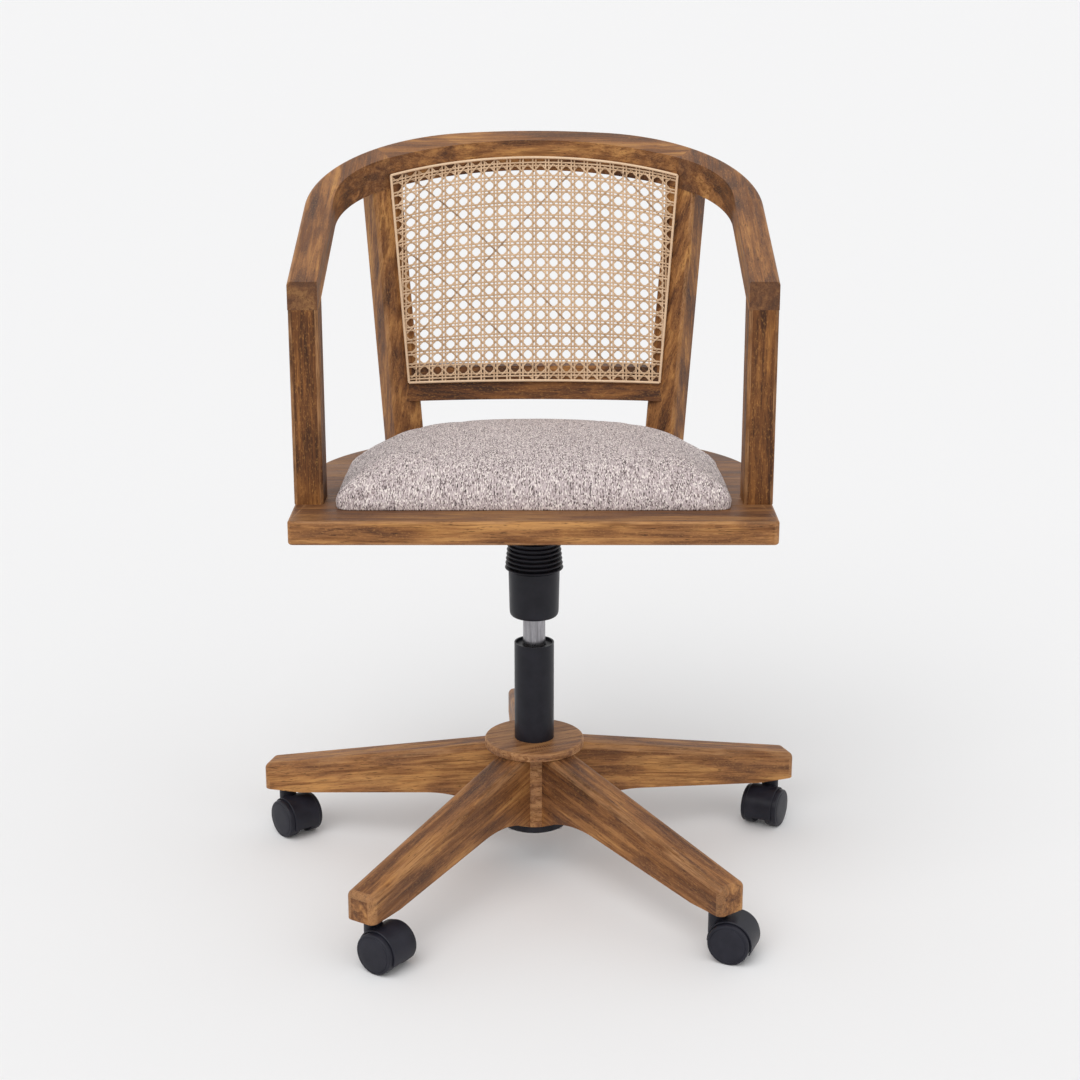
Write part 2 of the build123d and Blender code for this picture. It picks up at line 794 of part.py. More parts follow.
with BuildPart() as hub_plate:
    with Locations((0, 0, hub_bottom)):
        Cylinder(hub_plate_radius, hub_plate_height, align=downwards)
    fillet(hub_plate.edges().group_by(Axis.Z)[0], hub_edge)
    with Locations((0, 0, hub_bottom)):
        Cylinder(hub_plate_hole, hub_plate_height, align=downwards, mode=Mode.SUBTRACT)
    for x, y, z in hub_screw_places:
        with Locations((x, y, z)):
            Cylinder(screw_radius + fixed_gap, hub_plate_height, align=downwards, mode=Mode.SUBTRACT)
save(hub_plate, "hub_plate")

with BuildPart() as hub_plate_screws:
    for x, y, z in hub_screw_places:
        with Locations((x, y, z - hub_plate_height)):
            Cylinder(screw_head_radius, screw_head_height, align=downwards)
            Cylinder(screw_radius, hub_screw_length, align=upwards)
save(hub_plate_screws, "hub_plate_screws")

# Legs: top sloping from the disc to the tip, a level pad under the tip and a deep root
leg_fall = (disc_bottom - leg_tip_top) / (leg_reach - leg_top_reach)
leg_root_top = disc_bottom + leg_fall * (leg_top_reach - tube_radius)
for index, angle in enumerate(leg_angles, start=1):
    out = (cos(radians(angle)), sin(radians(angle)), 0)
    side_plane = Plane(origin=(0, 0, 0), x_dir=out, z_dir=(out[1], -out[0], 0))
    with BuildPart() as leg:
        with BuildSketch(side_plane):
            with BuildLine():
                Polyline(
                    (leg_root_reach, hub_bottom),
                    (tube_radius, hub_bottom),
                    (tube_radius, leg_root_top),
                    (leg_reach, leg_tip_top),
                    (leg_reach, leg_tip_bottom),
                    (leg_reach - leg_pad, leg_tip_bottom),
                    (leg_waist_reach, leg_waist_z),
                )
                TangentArc(
                    (leg_waist_reach, leg_waist_z),
                    (leg_root_reach, hub_bottom),
                    tangent=(leg_waist_reach - leg_reach + leg_pad, leg_waist_z - leg_tip_bottom),
                )
            make_face()
        extrude(amount=leg_width / 2, both=True)
        tip_corners = leg.edges().filter_by(Axis.Z).group_by(Axis((0, 0, 0), out))[-1]
        sloping_top = leg.faces().sort_by(lambda face: face.normal_at().Z)[-1]
        top_edges = sloping_top.edges().sort_by(Axis((0, 0, 0), out))[1:]
        fillet([*top_edges, *tip_corners], leg_edge)
        Cylinder(hub_core_radius, hub_top, align=upwards, mode=Mode.SUBTRACT)
        with Locations((0, 0, disc_bottom)):
            Cylinder(hub_disc_radius, hub_top, align=upwards, mode=Mode.SUBTRACT)
        leg_dowel_holes()
        with Locations((stem_reach * out[0], stem_reach * out[1], leg_tip_bottom)):
            Cylinder(stem_radius + fixed_gap, stem_rise, align=upwards, mode=Mode.SUBTRACT)
    save(leg, f"base_leg_{index}")

with BuildPart() as leg_dowels:
    with Locations(*leg_dowel_places):
        Cylinder(leg_dowel_radius, dowel_length, align=upwards)
save(leg_dowels, "leg_dowels")

# Casters, drawn once on the stem's axis with the axle along x, then placed under the leg tips
caster_places = [
    Location((stem_reach * cos(radians(angle)), stem_reach * sin(radians(angle)), 0), (0, 0, axle_angle))
    for angle, axle_angle in zip(leg_angles, caster_axle_angles)
]
hood_top = leg_tip_bottom - stem_flange_height - contact_gap
stem_bottom = wheel_radius + axle_radius + 2 * wheel_edge
axle_line = Axis((0, -caster_offset, wheel_radius), (1, 0, 0))
axle_plane = Plane(origin=(0, -caster_offset, wheel_radius), x_dir=(1, 0, 0), z_dir=(0, -1, 0))

with BuildPart() as stem:
    with Locations((0, 0, stem_bottom)):
        Cylinder(stem_radius, leg_tip_bottom + stem_rise - stem_bottom - fixed_gap, align=upwards)
    with Locations((0, 0, leg_tip_bottom)):
        Cylinder(stem_flange_radius, stem_flange_height, align=downwards)

# Hood: a web between the wheels, a fender over them and a neck that turns on the stem
fender_inside = hood_radius - hood_shell
with BuildPart() as hood:
    with BuildSketch(axle_plane):
        with BuildLine():
            Polyline(
                (-hood_half_width, fender_inside),
                (-hood_half_width, hood_radius - hood_edge),
                (-hood_half_width + hood_edge, hood_radius),
                (hood_half_width - hood_edge, hood_radius),
                (hood_half_width, hood_radius - hood_edge),
                (hood_half_width, fender_inside),
                (hood_web, fender_inside),
                (hood_web, axle_radius + fixed_gap),
                (-hood_web, axle_radius + fixed_gap),
                (-hood_web, fender_inside),
                close=True,
            )
        make_face()
    revolve(axis=axle_line)
    with Locations((0, -caster_offset, hood_lip)):
        Box(4 * hood_half_width, 4 * hood_radius, 4 * hood_radius, align=downwards, mode=Mode.SUBTRACT)
    with BuildSketch(Plane.XY.offset(boss_bottom)) as neck_outline:
        Circle(boss_radius)
    extrude(amount=hood_top - boss_bottom)
    fillet(hood.edges().group_by(Axis.Z)[-1], wheel_edge)
    for side in sides.values():
        with Locations(Location((side * (hood_web + hood_half_width), -caster_offset, wheel_radius), (0, 90, 0))):
            Cylinder(fender_inside, 2 * hood_half_width, mode=Mode.SUBTRACT)
    split(bisect_by=Plane(origin=(0, boss_radius, boss_bottom), z_dir=(0, -boss_slant, 1)), keep=Keep.TOP)
    with Locations((0, 0, stem_bottom - contact_gap)):
        Cylinder(stem_radius + running_gap, hood_top, align=upwards, mode=Mode.SUBTRACT)

# Wheels: wide treads that reach under the fender, with a step round a flat outer face
wheel_inside = hood_web + wheel_gap
with BuildPart() as axle:
    with Locations(axle_plane):
        Cylinder(axle_radius, 2 * (wheel_outside - wheel_rim), rotation=(0, 90, 0))

wheels = {}
for name, side in sides.items():
    with BuildPart() as wheel:
        with BuildSketch(axle_plane):
            with BuildLine():
                Polyline(
                    (side * wheel_inside, axle_radius + running_gap),
                    (side * wheel_inside, wheel_radius - wheel_edge),
                    (side * (wheel_inside + wheel_edge), wheel_radius),
                    (side * (wheel_outside - wheel_edge - wheel_step), wheel_radius),
                    (side * (wheel_outside - wheel_step), wheel_radius - wheel_edge),
                    (side * (wheel_outside - wheel_step), wheel_radius - wheel_rim),
                    (side * wheel_outside, wheel_radius - wheel_rim - wheel_step),
                    (side * wheel_outside, 0),
                    (side * (wheel_outside - wheel_rim + wheel_gap), 0),
                    (side * (wheel_outside - wheel_rim + wheel_gap), axle_radius + running_gap),
                    close=True,
                )
            make_face()
        revolve(axis=axle_line)
    wheels[name] = wheel

with BuildPart() as caster_stems:
    for place in caster_places:
        add(stem.part.moved(place))
save(caster_stems, "caster_stems")

caster_pieces = {"hood": hood, "axle": axle, "left_wheel": wheels["left"], "right_wheel": wheels["right"]}
for index, place in enumerate(caster_places, start=1):
    for name, piece in caster_pieces.items():
        with BuildPart() as placed_piece:
            add(piece.part.moved(place))
        save(placed_piece, f"caster_{index}_{name}")
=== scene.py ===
import json
from math import cos, pi, radians, sin, sqrt

import bmesh
import bpy
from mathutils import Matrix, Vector


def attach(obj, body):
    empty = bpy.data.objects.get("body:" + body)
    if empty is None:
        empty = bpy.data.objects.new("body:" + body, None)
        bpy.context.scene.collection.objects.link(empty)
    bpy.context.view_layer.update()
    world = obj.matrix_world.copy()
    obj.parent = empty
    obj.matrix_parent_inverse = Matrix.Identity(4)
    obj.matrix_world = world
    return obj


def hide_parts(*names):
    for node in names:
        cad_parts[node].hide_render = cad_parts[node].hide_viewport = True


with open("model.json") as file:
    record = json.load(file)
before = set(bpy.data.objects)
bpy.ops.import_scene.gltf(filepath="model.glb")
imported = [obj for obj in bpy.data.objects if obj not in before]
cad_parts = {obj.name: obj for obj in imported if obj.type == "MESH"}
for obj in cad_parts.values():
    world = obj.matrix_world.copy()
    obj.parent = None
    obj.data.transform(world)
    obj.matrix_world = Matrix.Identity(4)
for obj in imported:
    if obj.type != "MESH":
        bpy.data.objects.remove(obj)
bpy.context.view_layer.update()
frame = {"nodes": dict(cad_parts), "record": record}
nodes = frame["nodes"]
bodies = frame["record"]["behaviour"]["bodies"]
bodyOf = {node: body for body, members in bodies.items() for node in members}
scene = bpy.context.scene
print("frame loaded,", len(nodes), "nodes")


# small helpers for shader and geometry trees
def feed(tree, socket, value):
    if hasattr(value, "is_output"):
        tree.links.new(value, socket)
    else:
        socket.default_value = value


def addNode(tree, kind, inputs=None, **settings):
    node = tree.nodes.new(kind)
    for key, value in settings.items():
        setattr(node, key, value)
    for key, value in (inputs or {}).items():
        feed(tree, node.inputs[key], value)
    return node


def newMaterial(name):
    material = bpy.data.materials.new(name)
    material.use_nodes = True
    tree = material.node_tree
    return material, tree, tree.nodes["Principled BSDF"]


def setSockets(tree, shader, values):
    for name, value in values.items():
        feed(tree, shader.inputs[name], value)


def ramp(tree, factor, stops):
    node = addNode(tree, "ShaderNodeValToRGB", {"Fac": factor})
    while len(node.color_ramp.elements) < len(stops):
        node.color_ramp.elements.new(0.5)
    for element, (place, colour) in zip(node.color_ramp.elements, stops):
        element.position = place
        element.color = (*colour, 1)
    return node.outputs["Color"]


def span(tree, value, low, high, newLow=0.0, newHigh=1.0):
    inputs = {0: value, 1: low, 2: high, 3: newLow, 4: newHigh}
    return addNode(tree, "ShaderNodeMapRange", inputs).outputs[0]


def stretched(tree, vector, scale):
    inputs = {0: vector, 1: scale}
    return addNode(tree, "ShaderNodeVectorMath", inputs, operation="MULTIPLY").outputs[0]


def noise(tree, vector, scale, detail=2.0, roughness=0.5, distortion=0.0):
    inputs = {
        "Vector": vector, "Scale": scale, "Detail": detail,
        "Roughness": roughness, "Distortion": distortion,
    }
    return addNode(tree, "ShaderNodeTexNoise", inputs).outputs["Fac"]


def mixColour(tree, factor, first, second):
    node = addNode(tree, "ShaderNodeMix", data_type="RGBA")
    for place, value in ((0, factor), (6, first), (7, second)):
        feed(tree, node.inputs[place], (*value, 1) if isinstance(value, tuple) else value)
    return node.outputs[2]


def maths(tree, operation, first, second=0.0):
    return addNode(tree, "ShaderNodeMath", {0: first, 1: second}, operation=operation).outputs[0]


def weighed(tree, *pairs):
    # sum of values, each times its weight
    total = None
    for value, weight in pairs:
        share = maths(tree, "MULTIPLY", value, weight)
        total = share if total is None else maths(tree, "ADD", total, share)
    return total


def bumped(tree, shader, height, strength, distance):
    inputs = {"Height": height, "Strength": strength, "Distance": distance}
    bump = addNode(tree, "ShaderNodeBump", inputs)
    tree.links.new(bump.outputs["Normal"], shader.inputs["Normal"])


def objectCoords(tree, place=(0, 0, 0), turn=(0, 0, 0)):
    coords = addNode(tree, "ShaderNodeTexCoord")
    inputs = {"Vector": coords.outputs["Object"], "Location": place, "Rotation": turn}
    return addNode(tree, "ShaderNodeMapping", inputs, vector_type="TEXTURE").outputs["Vector"]


# oiled brown hardwood, grain along the x axis of the turned coordinates
woodLook = {
    "dark": (0.050, 0.018, 0.007),
    "brown": (0.155, 0.057, 0.017),
    "warm": (0.330, 0.136, 0.037),
    "gold": (0.560, 0.268, 0.074),
    "seam": (0.075, 0.028, 0.011),
    "stain": (0.100, 0.038, 0.018),
    "pore": (0.030, 0.012, 0.006),
    "worn": (0.460, 0.240, 0.105),
    # dust and painted sheen: a pale mauve that stands for dust and for the sky's sheen on the wood
    "dustAndSheen": (0.420, 0.262, 0.185),
    # shade: the colour of the painted shade on faces turned one way
    "shade": (0.085, 0.040, 0.024),
    "stops": {"dark": 0.413, "brown": 0.471, "warm": 0.529, "gold": 0.592},
    "weights": {"broad": 0.40, "figure": 0.38, "fibre": 0.22},
    "roughness": (0.40, 0.60),
    "specular": 0.20,
    "poreDepth": 0.65,
}

# grain layers: stretch along and across, scale, detail, roughness, distortion
grainLayers = {
    "broad": ((1.3, 5, 5), 5.0, 3.0, 0.55, 0.5),
    "figure": ((0.7, 11, 11), 10.0, 4.0, 0.62, 0.7),
    "fibre": ((0.5, 12, 12), 75.0, 3.0, 0.65, 0.2),
    "fleck": ((0.25, 2.6, 2.6), 330.0, 2.0, 0.6, 0.0),
    "blotch": ((1, 1.6, 1.6), 16.0, 2.0, 0.5, 0.4),
    "glint": ((0.45, 1.1, 1.1), 620.0, 2.0, 0.6, 0.0),
    "streak": ((0.4, 9, 9), 26.0, 3.0, 0.6, 0.4),
}

# washes over the base colour: layer, its range, least and most, colour
woodWashes = [
    ("fibre", 0.46, 0.70, 0.0, 0.55, "seam"),
    ("blotch", 0.55, 0.80, 0.0, 0.25, "stain"),
    ("glint", 0.54, 0.70, 0.0, 0.34, "gold"),
    # this wash lays dust and painted sheen in pale mauve patches
    ("figure", 0.35, 0.70, 0.4, 1.3, "dustAndSheen"),
    ("streak", 0.50, 0.66, 0.0, 0.75, "brown"),
]


def woodMaterial(name, place, turn, tone=0.0, dustAndSheen=0.0, shaded=None):
    material, tree, shader = newMaterial(name)
    look = woodLook
    grain = objectCoords(tree, place, turn)
    layer = {}
    for key, (stretch, *settings) in grainLayers.items():
        layer[key] = noise(tree, stretched(tree, grain, stretch), *settings)
    base = weighed(tree, *[(layer[key], weight) for key, weight in look["weights"].items()])
    stops = [(stop, look[key]) for key, stop in look["stops"].items()]
    colour = ramp(tree, maths(tree, "ADD", base, tone), stops)
    for key, start, end, least, most, tint in woodWashes:
        share = dustAndSheen if tint == "dustAndSheen" else 1.0
        amount = span(tree, layer[key], start, end, least * share, most * share)
        colour = mixColour(tree, amount, colour, look[tint])
    # faces turned along the axis are darkened towards the shade colour: painted shade
    if shaded:
        axis, most = shaded
        normal = addNode(tree, "ShaderNodeTexCoord").outputs["Normal"]
        facing = addNode(tree, "ShaderNodeVectorMath", {0: normal, 1: axis}, operation="DOT_PRODUCT")
        amount = span(tree, facing.outputs["Value"], 0.70, 0.92, 0.0, most)
        colour = mixColour(tree, amount, colour, look["shade"])
    pores = span(tree, layer["fleck"], 0.60, 0.68)
    colour = mixColour(tree, maths(tree, "MULTIPLY", pores, look["poreDepth"]), colour, look["pore"])
    # wear on the rounded edges, broken up by blotch and fibre
    patchy = span(tree, layer["blotch"], 0.36, 0.60)
    patchy = maths(tree, "MULTIPLY", patchy, span(tree, layer["fibre"], 0.66, 0.40, 0.0, 0.75))
    arris = addNode(tree, "ShaderNodeAttribute", attribute_name="arris").outputs["Fac"]
    colour = mixColour(tree, maths(tree, "MULTIPLY", arris, patchy), colour, look["worn"])
    setSockets(tree, shader, {
        "Base Color": colour,
        "Roughness": span(tree, layer["figure"], 0.3, 0.75, *look["roughness"]),
        "Specular IOR Level": look["specular"],
    })
    bumped(tree, shader, weighed(tree, (layer["fibre"], 0.35), (pores, -0.8)), 0.22, 0.0006)
    return material


# moulded plastic, powder coat and metal finishes
plasticLook = {
    "smearScale": 38.0, "paleTimes": 1.6, "palePlus": 0.004,
    "smoother": 0.06, "rougher": 0.08, "specular": 0.24,
}
steelLook = {"lineScale": 60.0, "stainScale": 45.0, "dull": 0.55, "smoother": 0.1, "rougher": 0.14}


def plasticMaterial(name, colour, roughness, grainScale):
    material, tree, shader = newMaterial(name)
    look = plasticLook
    coords = objectCoords(tree)
    spark = noise(tree, coords, grainScale, 2.0, 0.6)
    smear = noise(tree, coords, look["smearScale"], 3.0, 0.6)
    pale = tuple(part * look["paleTimes"] + look["palePlus"] for part in colour)
    low, high = roughness - look["smoother"], roughness + look["rougher"]
    setSockets(tree, shader, {
        "Base Color": mixColour(tree, span(tree, smear, 0.35, 0.75), colour, pale),
        "Roughness": span(tree, smear, 0.3, 0.7, low, high),
        "Specular IOR Level": look["specular"],
    })
    bumped(tree, shader, spark, 0.18, 0.0003)
    return material


def steelMaterial(name, colour, roughness, streak):
    material, tree, shader = newMaterial(name)
    look = steelLook
    coords = objectCoords(tree)
    lines = noise(tree, stretched(tree, coords, streak), look["lineScale"], 3.0, 0.6)
    stain = noise(tree, coords, look["stainScale"], 4.0, 0.65)
    dull = tuple(part * look["dull"] for part in colour)
    tint = mixColour(tree, span(tree, lines, 0.42, 0.62, 0.0, 0.75), colour, dull)
    low, high = roughness - look["smoother"], roughness + look["rougher"]
    setSockets(tree, shader, {
        "Base Color": mixColour(tree, span(tree, stain, 0.45, 0.75, 0.0, 0.7), tint, dull),
        "Roughness": span(tree, lines, 0.25, 0.75, low, high),
        "Metallic": 1.0,
    })
    bumped(tree, shader, lines, 0.12, 0.0002)
    return material


powderCoat = plasticMaterial("powderCoat", (0.009, 0.009, 0.014), 0.40, 1500.0)
bootPlastic = plasticMaterial("bootPlastic", (0.009, 0.009, 0.014), 0.38, 900.0)
casterPlastic = plasticMaterial("casterPlastic", (0.010, 0.010, 0.016), 0.42, 1100.0)
stopRubber = plasticMaterial("stopRubber", (0.012, 0.012, 0.012), 0.75, 700.0)
liftSteel = steelMaterial("liftSteel", (0.36, 0.35, 0.37), 0.30, (9, 9, 0.5))
zincSteel = steelMaterial("zincSteel", (0.56, 0.56, 0.58), 0.30, (3, 3, 3))
print("finishes made")


# cane skin: each strand has its own shade, and it changes along its length
def caneMaterial(name, straw, deep, stain):
    material, tree, shader = newMaterial(name)
    coords = objectCoords(tree)
    strand = addNode(tree, "ShaderNodeAttribute", attribute_name="strandShade").outputs["Fac"]
    skin = noise(tree, coords, 240.0, 3.0, 0.6)
    length = noise(tree, coords, 26.0, 2.0, 0.5)
    tint = weighed(tree, (strand, 0.55), (length, 0.45))
    colour = ramp(tree, tint, [(0.22, straw), (0.60, deep), (0.92, stain)])
    setSockets(tree, shader, {
        "Base Color": mixColour(tree, span(tree, skin, 0.5, 0.8, 0.0, 0.3), colour, deep),
        "Roughness": 0.42,
        "Coat Weight": 0.15,
    })
    bumped(tree, shader, skin, 0.25, 0.0003)
    return material


caneStraw = caneMaterial("caneStraw", (0.70, 0.485, 0.305), (0.50, 0.315, 0.172), (0.15, 0.080, 0.042))
caneReed = caneMaterial("caneReed", (0.80, 0.59, 0.395), (0.70, 0.48, 0.30), (0.46, 0.285, 0.16))


# pieces
def standFor(piece, node):
    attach(piece, bodyOf[node])
    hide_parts(node)
    return piece


def takeOver(piece, node, material):
    piece.data.materials.clear()
    piece.data.materials.append(material)
    return standFor(piece, node)


def addMesh(name, mesh):
    piece = bpy.data.objects.new(name, mesh)
    scene.collection.objects.link(piece)
    return piece


def closedMesh(build, name):
    mesh = bpy.data.meshes.new(name)
    build.to_mesh(mesh)
    build.free()
    return mesh


def evaluatedMesh(piece):
    # the piece with its modifiers run, as a plain mesh
    graph = bpy.context.evaluated_depsgraph_get()
    made = bpy.data.meshes.new_from_object(piece.evaluated_get(graph), depsgraph=graph)
    piece.modifiers.clear()
    return made


# shading: angles past which an edge stays sharp, and the width of a rounded edge
shading = {"solid": 28, "turned": 32, "screw": 35, "arris": 0.0026, "merge": 1e-5}


def markArrises(build):
    # narrow strips of triangles are the rounded edges
    layer = build.faces.layers.float.new("arris")
    for face in build.faces:
        longest = max(edge.calc_length() for edge in face.edges)
        width = 2 * face.calc_area() / max(longest, 1e-6)
        face[layer] = 1.0 if width < shading["arris"] else 0.0


def smoothByAngle(build, limit):
    for face in build.faces:
        face.smooth = True
    for edge in build.edges:
        if len(edge.link_faces) == 2 and edge.calc_face_angle(0.0) > radians(limit):
            edge.smooth = False


def dressedCopy(node, material):
    build = bmesh.new()
    build.from_mesh(nodes[node].data)
    bmesh.ops.remove_doubles(build, verts=build.verts, dist=shading["merge"])
    smoothByAngle(build, shading["solid"])
    markArrises(build)
    return takeOver(addMesh(node + "_skin", closedMesh(build, node + "Skin")), node, material)


# darker faces turned along an axis: painted shade on the board's top, and the front ends of the arms darkened
# the same way
shadedFaces = {
    "seat_board": ((0, 0, 1), 0.45),
    "bow_left_arm": ((0, -1, 0), 0.55),
    "bow_right_arm": ((0, -1, 0), 0.55),
}

# grain of each wooden piece: offset, turn, tone, and the amount of dust and painted sheen
armSlope = 0.3079
legSlope = 0.16
legDustAndSheen = 0.12
legTones = (0.030, 0.030, 0.010, 0.005, 0.030)
legTurns = [radians(93 + 72 * index) for index in range(5)]
woodPlan = {
    "seat_board": ((0.3, 0.11, 0.02), (0, 0, 0), 0.030, 0.12),
    "left_arm_post": ((0.7, 0.4, 0.1), (0, -pi / 2, 0), -0.045, 0.0),
    "right_arm_post": ((0.2, 0.9, 0.4), (0, -pi / 2, 0), -0.040, 0.0),
    "left_back_post": ((0.5, 0.3, 0.8), (0, -1.38, 0.4), 0.030, 0.08),
    "right_back_post": ((0.1, 0.2, 0.6), (0, -1.38, -0.4), 0.010, 0.05),
    "lower_back_rail": ((0.9, 0.6, 0.5), (0.3, 0, 0), -0.050, 0.0),
    "bow_crest": ((0.4, 0.8, 0.3), (0.3, 0, 0), -0.012, 0.08),
    "bow_left_arm": ((0.6, 0.5, 0.9), (0, -armSlope, pi / 2), 0.0, 0.10),
    "bow_right_arm": ((0.8, 0.1, 0.7), (0, -armSlope, pi / 2), 0.0, 0.10),
    "base_hub": ((0.15, 0.7, 0.25), (0, 0, 0.4), 0.060, 0.28),
}
for index, (turn, tone) in enumerate(zip(legTurns, legTones), start=1):
    place = (0.13 * index, 0.31 * index, 0.2)
    woodPlan[f"base_leg_{index}"] = (place, (0, legSlope, turn), tone, legDustAndSheen)
for node, (place, turn, tone, dustAndSheen) in woodPlan.items():
    dressedCopy(node, woodMaterial("wood_" + node, place, turn, tone, dustAndSheen, shadedFaces.get(node)))
print("wood dressed,", len(woodPlan), "pieces")


# geometry trees: geometry and named sizes in, dressed geometry out
def newTree(name, inputs):
    tree = bpy.data.node_groups.new(name, "GeometryNodeTree")
    sockets = tree.interface
    sockets.new_socket("Geometry", in_out="INPUT", socket_type="NodeSocketGeometry")
    for label, kind in inputs.items():
        sockets.new_socket(label, in_out="INPUT", socket_type="NodeSocket" + kind)
    sockets.new_socket("Geometry", in_out="OUTPUT", socket_type="NodeSocketGeometry")
    return tree, addNode(tree, "NodeGroupInput").outputs


def endTree(tree, geometry, finish):
    real = addNode(tree, "GeometryNodeRealizeInstances", {"Geometry": geometry}).outputs["Geometry"]
    dressed = addNode(tree, "GeometryNodeSetMaterial", {"Geometry": real, "Material": finish})
    addNode(tree, "NodeGroupOutput", {"Geometry": dressed.outputs["Geometry"]})
    return tree


def ovalSection(tree, sides, width, height):
    # a circle of diameter 1 scaled to the two sizes
    ring = addNode(tree, "GeometryNodeCurvePrimitiveCircle", {"Resolution": sides, "Radius": 0.5})
    size = addNode(tree, "ShaderNodeCombineXYZ", {"X": width, "Y": height, "Z": 1.0})
    inputs = {"Geometry": ring.outputs["Curve"], "Scale": size.outputs[0]}
    return addNode(tree, "GeometryNodeTransform", inputs).outputs["Geometry"]


def grown(name, mesh, tree, settings):
    # runs a tree on a mesh and keeps the result as a plain mesh
    source = addMesh(name + "Source", mesh)
    modifier = source.modifiers.new("grow", "NODES")
    modifier.node_group = tree
    for item in tree.interface.items_tree:
        if item.in_out == "INPUT" and item.name in settings:
            modifier[item.identifier] = settings[item.name]
    made = evaluatedMesh(source)
    bpy.data.objects.remove(source)
    made.name = name
    return addMesh(name, made)


# flat strands that follow polylines lying on the scooped back
def strandTree(name):
    inputs = {"Width": "Float", "Thickness": "Float", "Sides": "Int", "Finish": "Material"}
    tree, given = newTree(name, inputs)
    lines = addNode(tree, "GeometryNodeMeshToCurve", {"Mesh": given["Geometry"]})
    outward = addNode(tree, "GeometryNodeInputNamedAttribute", data_type="FLOAT_VECTOR")
    outward.inputs["Name"].default_value = "outward"
    facing = addNode(tree, "GeometryNodeSetCurveNormal", mode="FREE")
    tree.links.new(lines.outputs["Curve"], facing.inputs["Curve"])
    tree.links.new(outward.outputs["Attribute"], facing.inputs["Normal"])
    section = ovalSection(tree, given["Sides"], given["Thickness"], given["Width"])
    inputs = {"Curve": facing.outputs["Curve"], "Profile Curve": section, "Fill Caps": True}
    strip = addNode(tree, "GeometryNodeCurveToMesh", inputs)
    return endTree(tree, strip.outputs["Mesh"], given["Finish"])


# cane back: ruled between the crest's inner wall and the lower rail, metres
cane = {
    "topHalf": 0.182, "lowHalf": 0.160, "lowZ": 0.600, "lowY": 0.1253, "lowSag": 0.013,
    "wallRadius": 0.33589, "wallCentre": -0.11125, "wallClear": 0.0003,
    "armFront": -0.158, "armTop": 0.774, "slope": 0.318, "drop": 0.022, "middle": -0.00125,
    "pitchX": 0.0165, "pitchRise": 0.0169, "pairGap": 0.0040, "rowTilt": 0.012,
    "strand": 0.0024, "diagonal": 0.0023, "thick": 0.0008, "sides": 6,
    "lift": 0.00045, "diagonalLift": 1.9,
    "rowLow": 0.012, "rowHigh": 0.985, "lastStop": 0.995,
    "straightShade": 0.5, "darkFrom": 0.80, "darkShade": 0.95, "paleShade": 0.15, "shadeRange": 0.6,
}
probe = {"x": 0.001, "rise": 0.004}  # steps for the sheet's normal


def halfAt(rise):
    return cane["lowHalf"] + rise * (cane["topHalf"] - cane["lowHalf"])


def backPoint(x, rise):
    # point on the scooped sheet at x, rise from 0 at the rail to 1 at the crest
    u = x / halfAt(rise)
    topX = u * cane["topHalf"]
    topY = cane["wallCentre"] + sqrt(cane["wallRadius"] ** 2 - topX ** 2) - cane["wallClear"]
    topZ = cane["armTop"] + (topY - cane["armFront"]) * cane["slope"] - cane["drop"]
    lowY = cane["lowY"] + cane["lowSag"] * (1 - u * u)
    low = Vector((u * cane["lowHalf"], lowY, cane["lowZ"]))
    return low.lerp(Vector((topX, topY, topZ)), rise) + Vector((0, cane["middle"], 0))


def backNormal(x, rise):
    across = backPoint(x + probe["x"], rise) - backPoint(x - probe["x"], rise)
    upward = backPoint(x, rise + probe["rise"]) - backPoint(x, rise - probe["rise"])
    return across.cross(upward).normalized()


class StrandSet:
    # collects polylines with an outward direction and a shade for each point
    def __init__(self):
        self.points = []
        self.outward = []
        self.shades = []
        self.edges = []

    def add(self, run, shade):
        start = len(self.points)
        for x, rise, lift in run:
            normal = backNormal(x, rise)
            self.points.append(backPoint(x, rise) + normal * lift)
            self.outward.append(normal)
            self.shades.append(shade)
        self.edges += [(i, i + 1) for i in range(start, len(self.points) - 1)]

    def mesh(self, name):
        mesh = bpy.data.meshes.new(name)
        mesh.from_pydata(self.points, self.edges, [])
        parts = [part for normal in self.outward for part in normal]
        mesh.attributes.new("outward", "FLOAT_VECTOR", "POINT").data.foreach_set("vector", parts)
        mesh.attributes.new("strandShade", "FLOAT", "POINT").data.foreach_set("value", self.shades)
        return mesh


seedWeights = (12.9898, 78.233, 37.719)
seedScale = 43758.5453


def seeded(*numbers):
    # a steady value from 0 to 1 for a strand
    value = sin(sum(number * weight for number, weight in zip(numbers, seedWeights))) * seedScale
    return value - int(value) if value > 0 else value - int(value) + 1


faceLength = (backPoint(0, 1) - backPoint(0, 0)).length
riseStep = cane["pitchRise"] / faceLength
rowCount = int(1 / riseStep) + 1
columnCount = int(cane["topHalf"] / cane["pitchX"])


def rowRise(row, side, x):
    # a row leans up a little to one side, as stretched cane does
    pair = side * cane["pairGap"] / 2 / faceLength
    return (row + 0.5) * riseStep + pair + cane["rowTilt"] * x / faceLength


def columnX(column, side):
    return column * cane["pitchX"] + side * cane["pairGap"] / 2


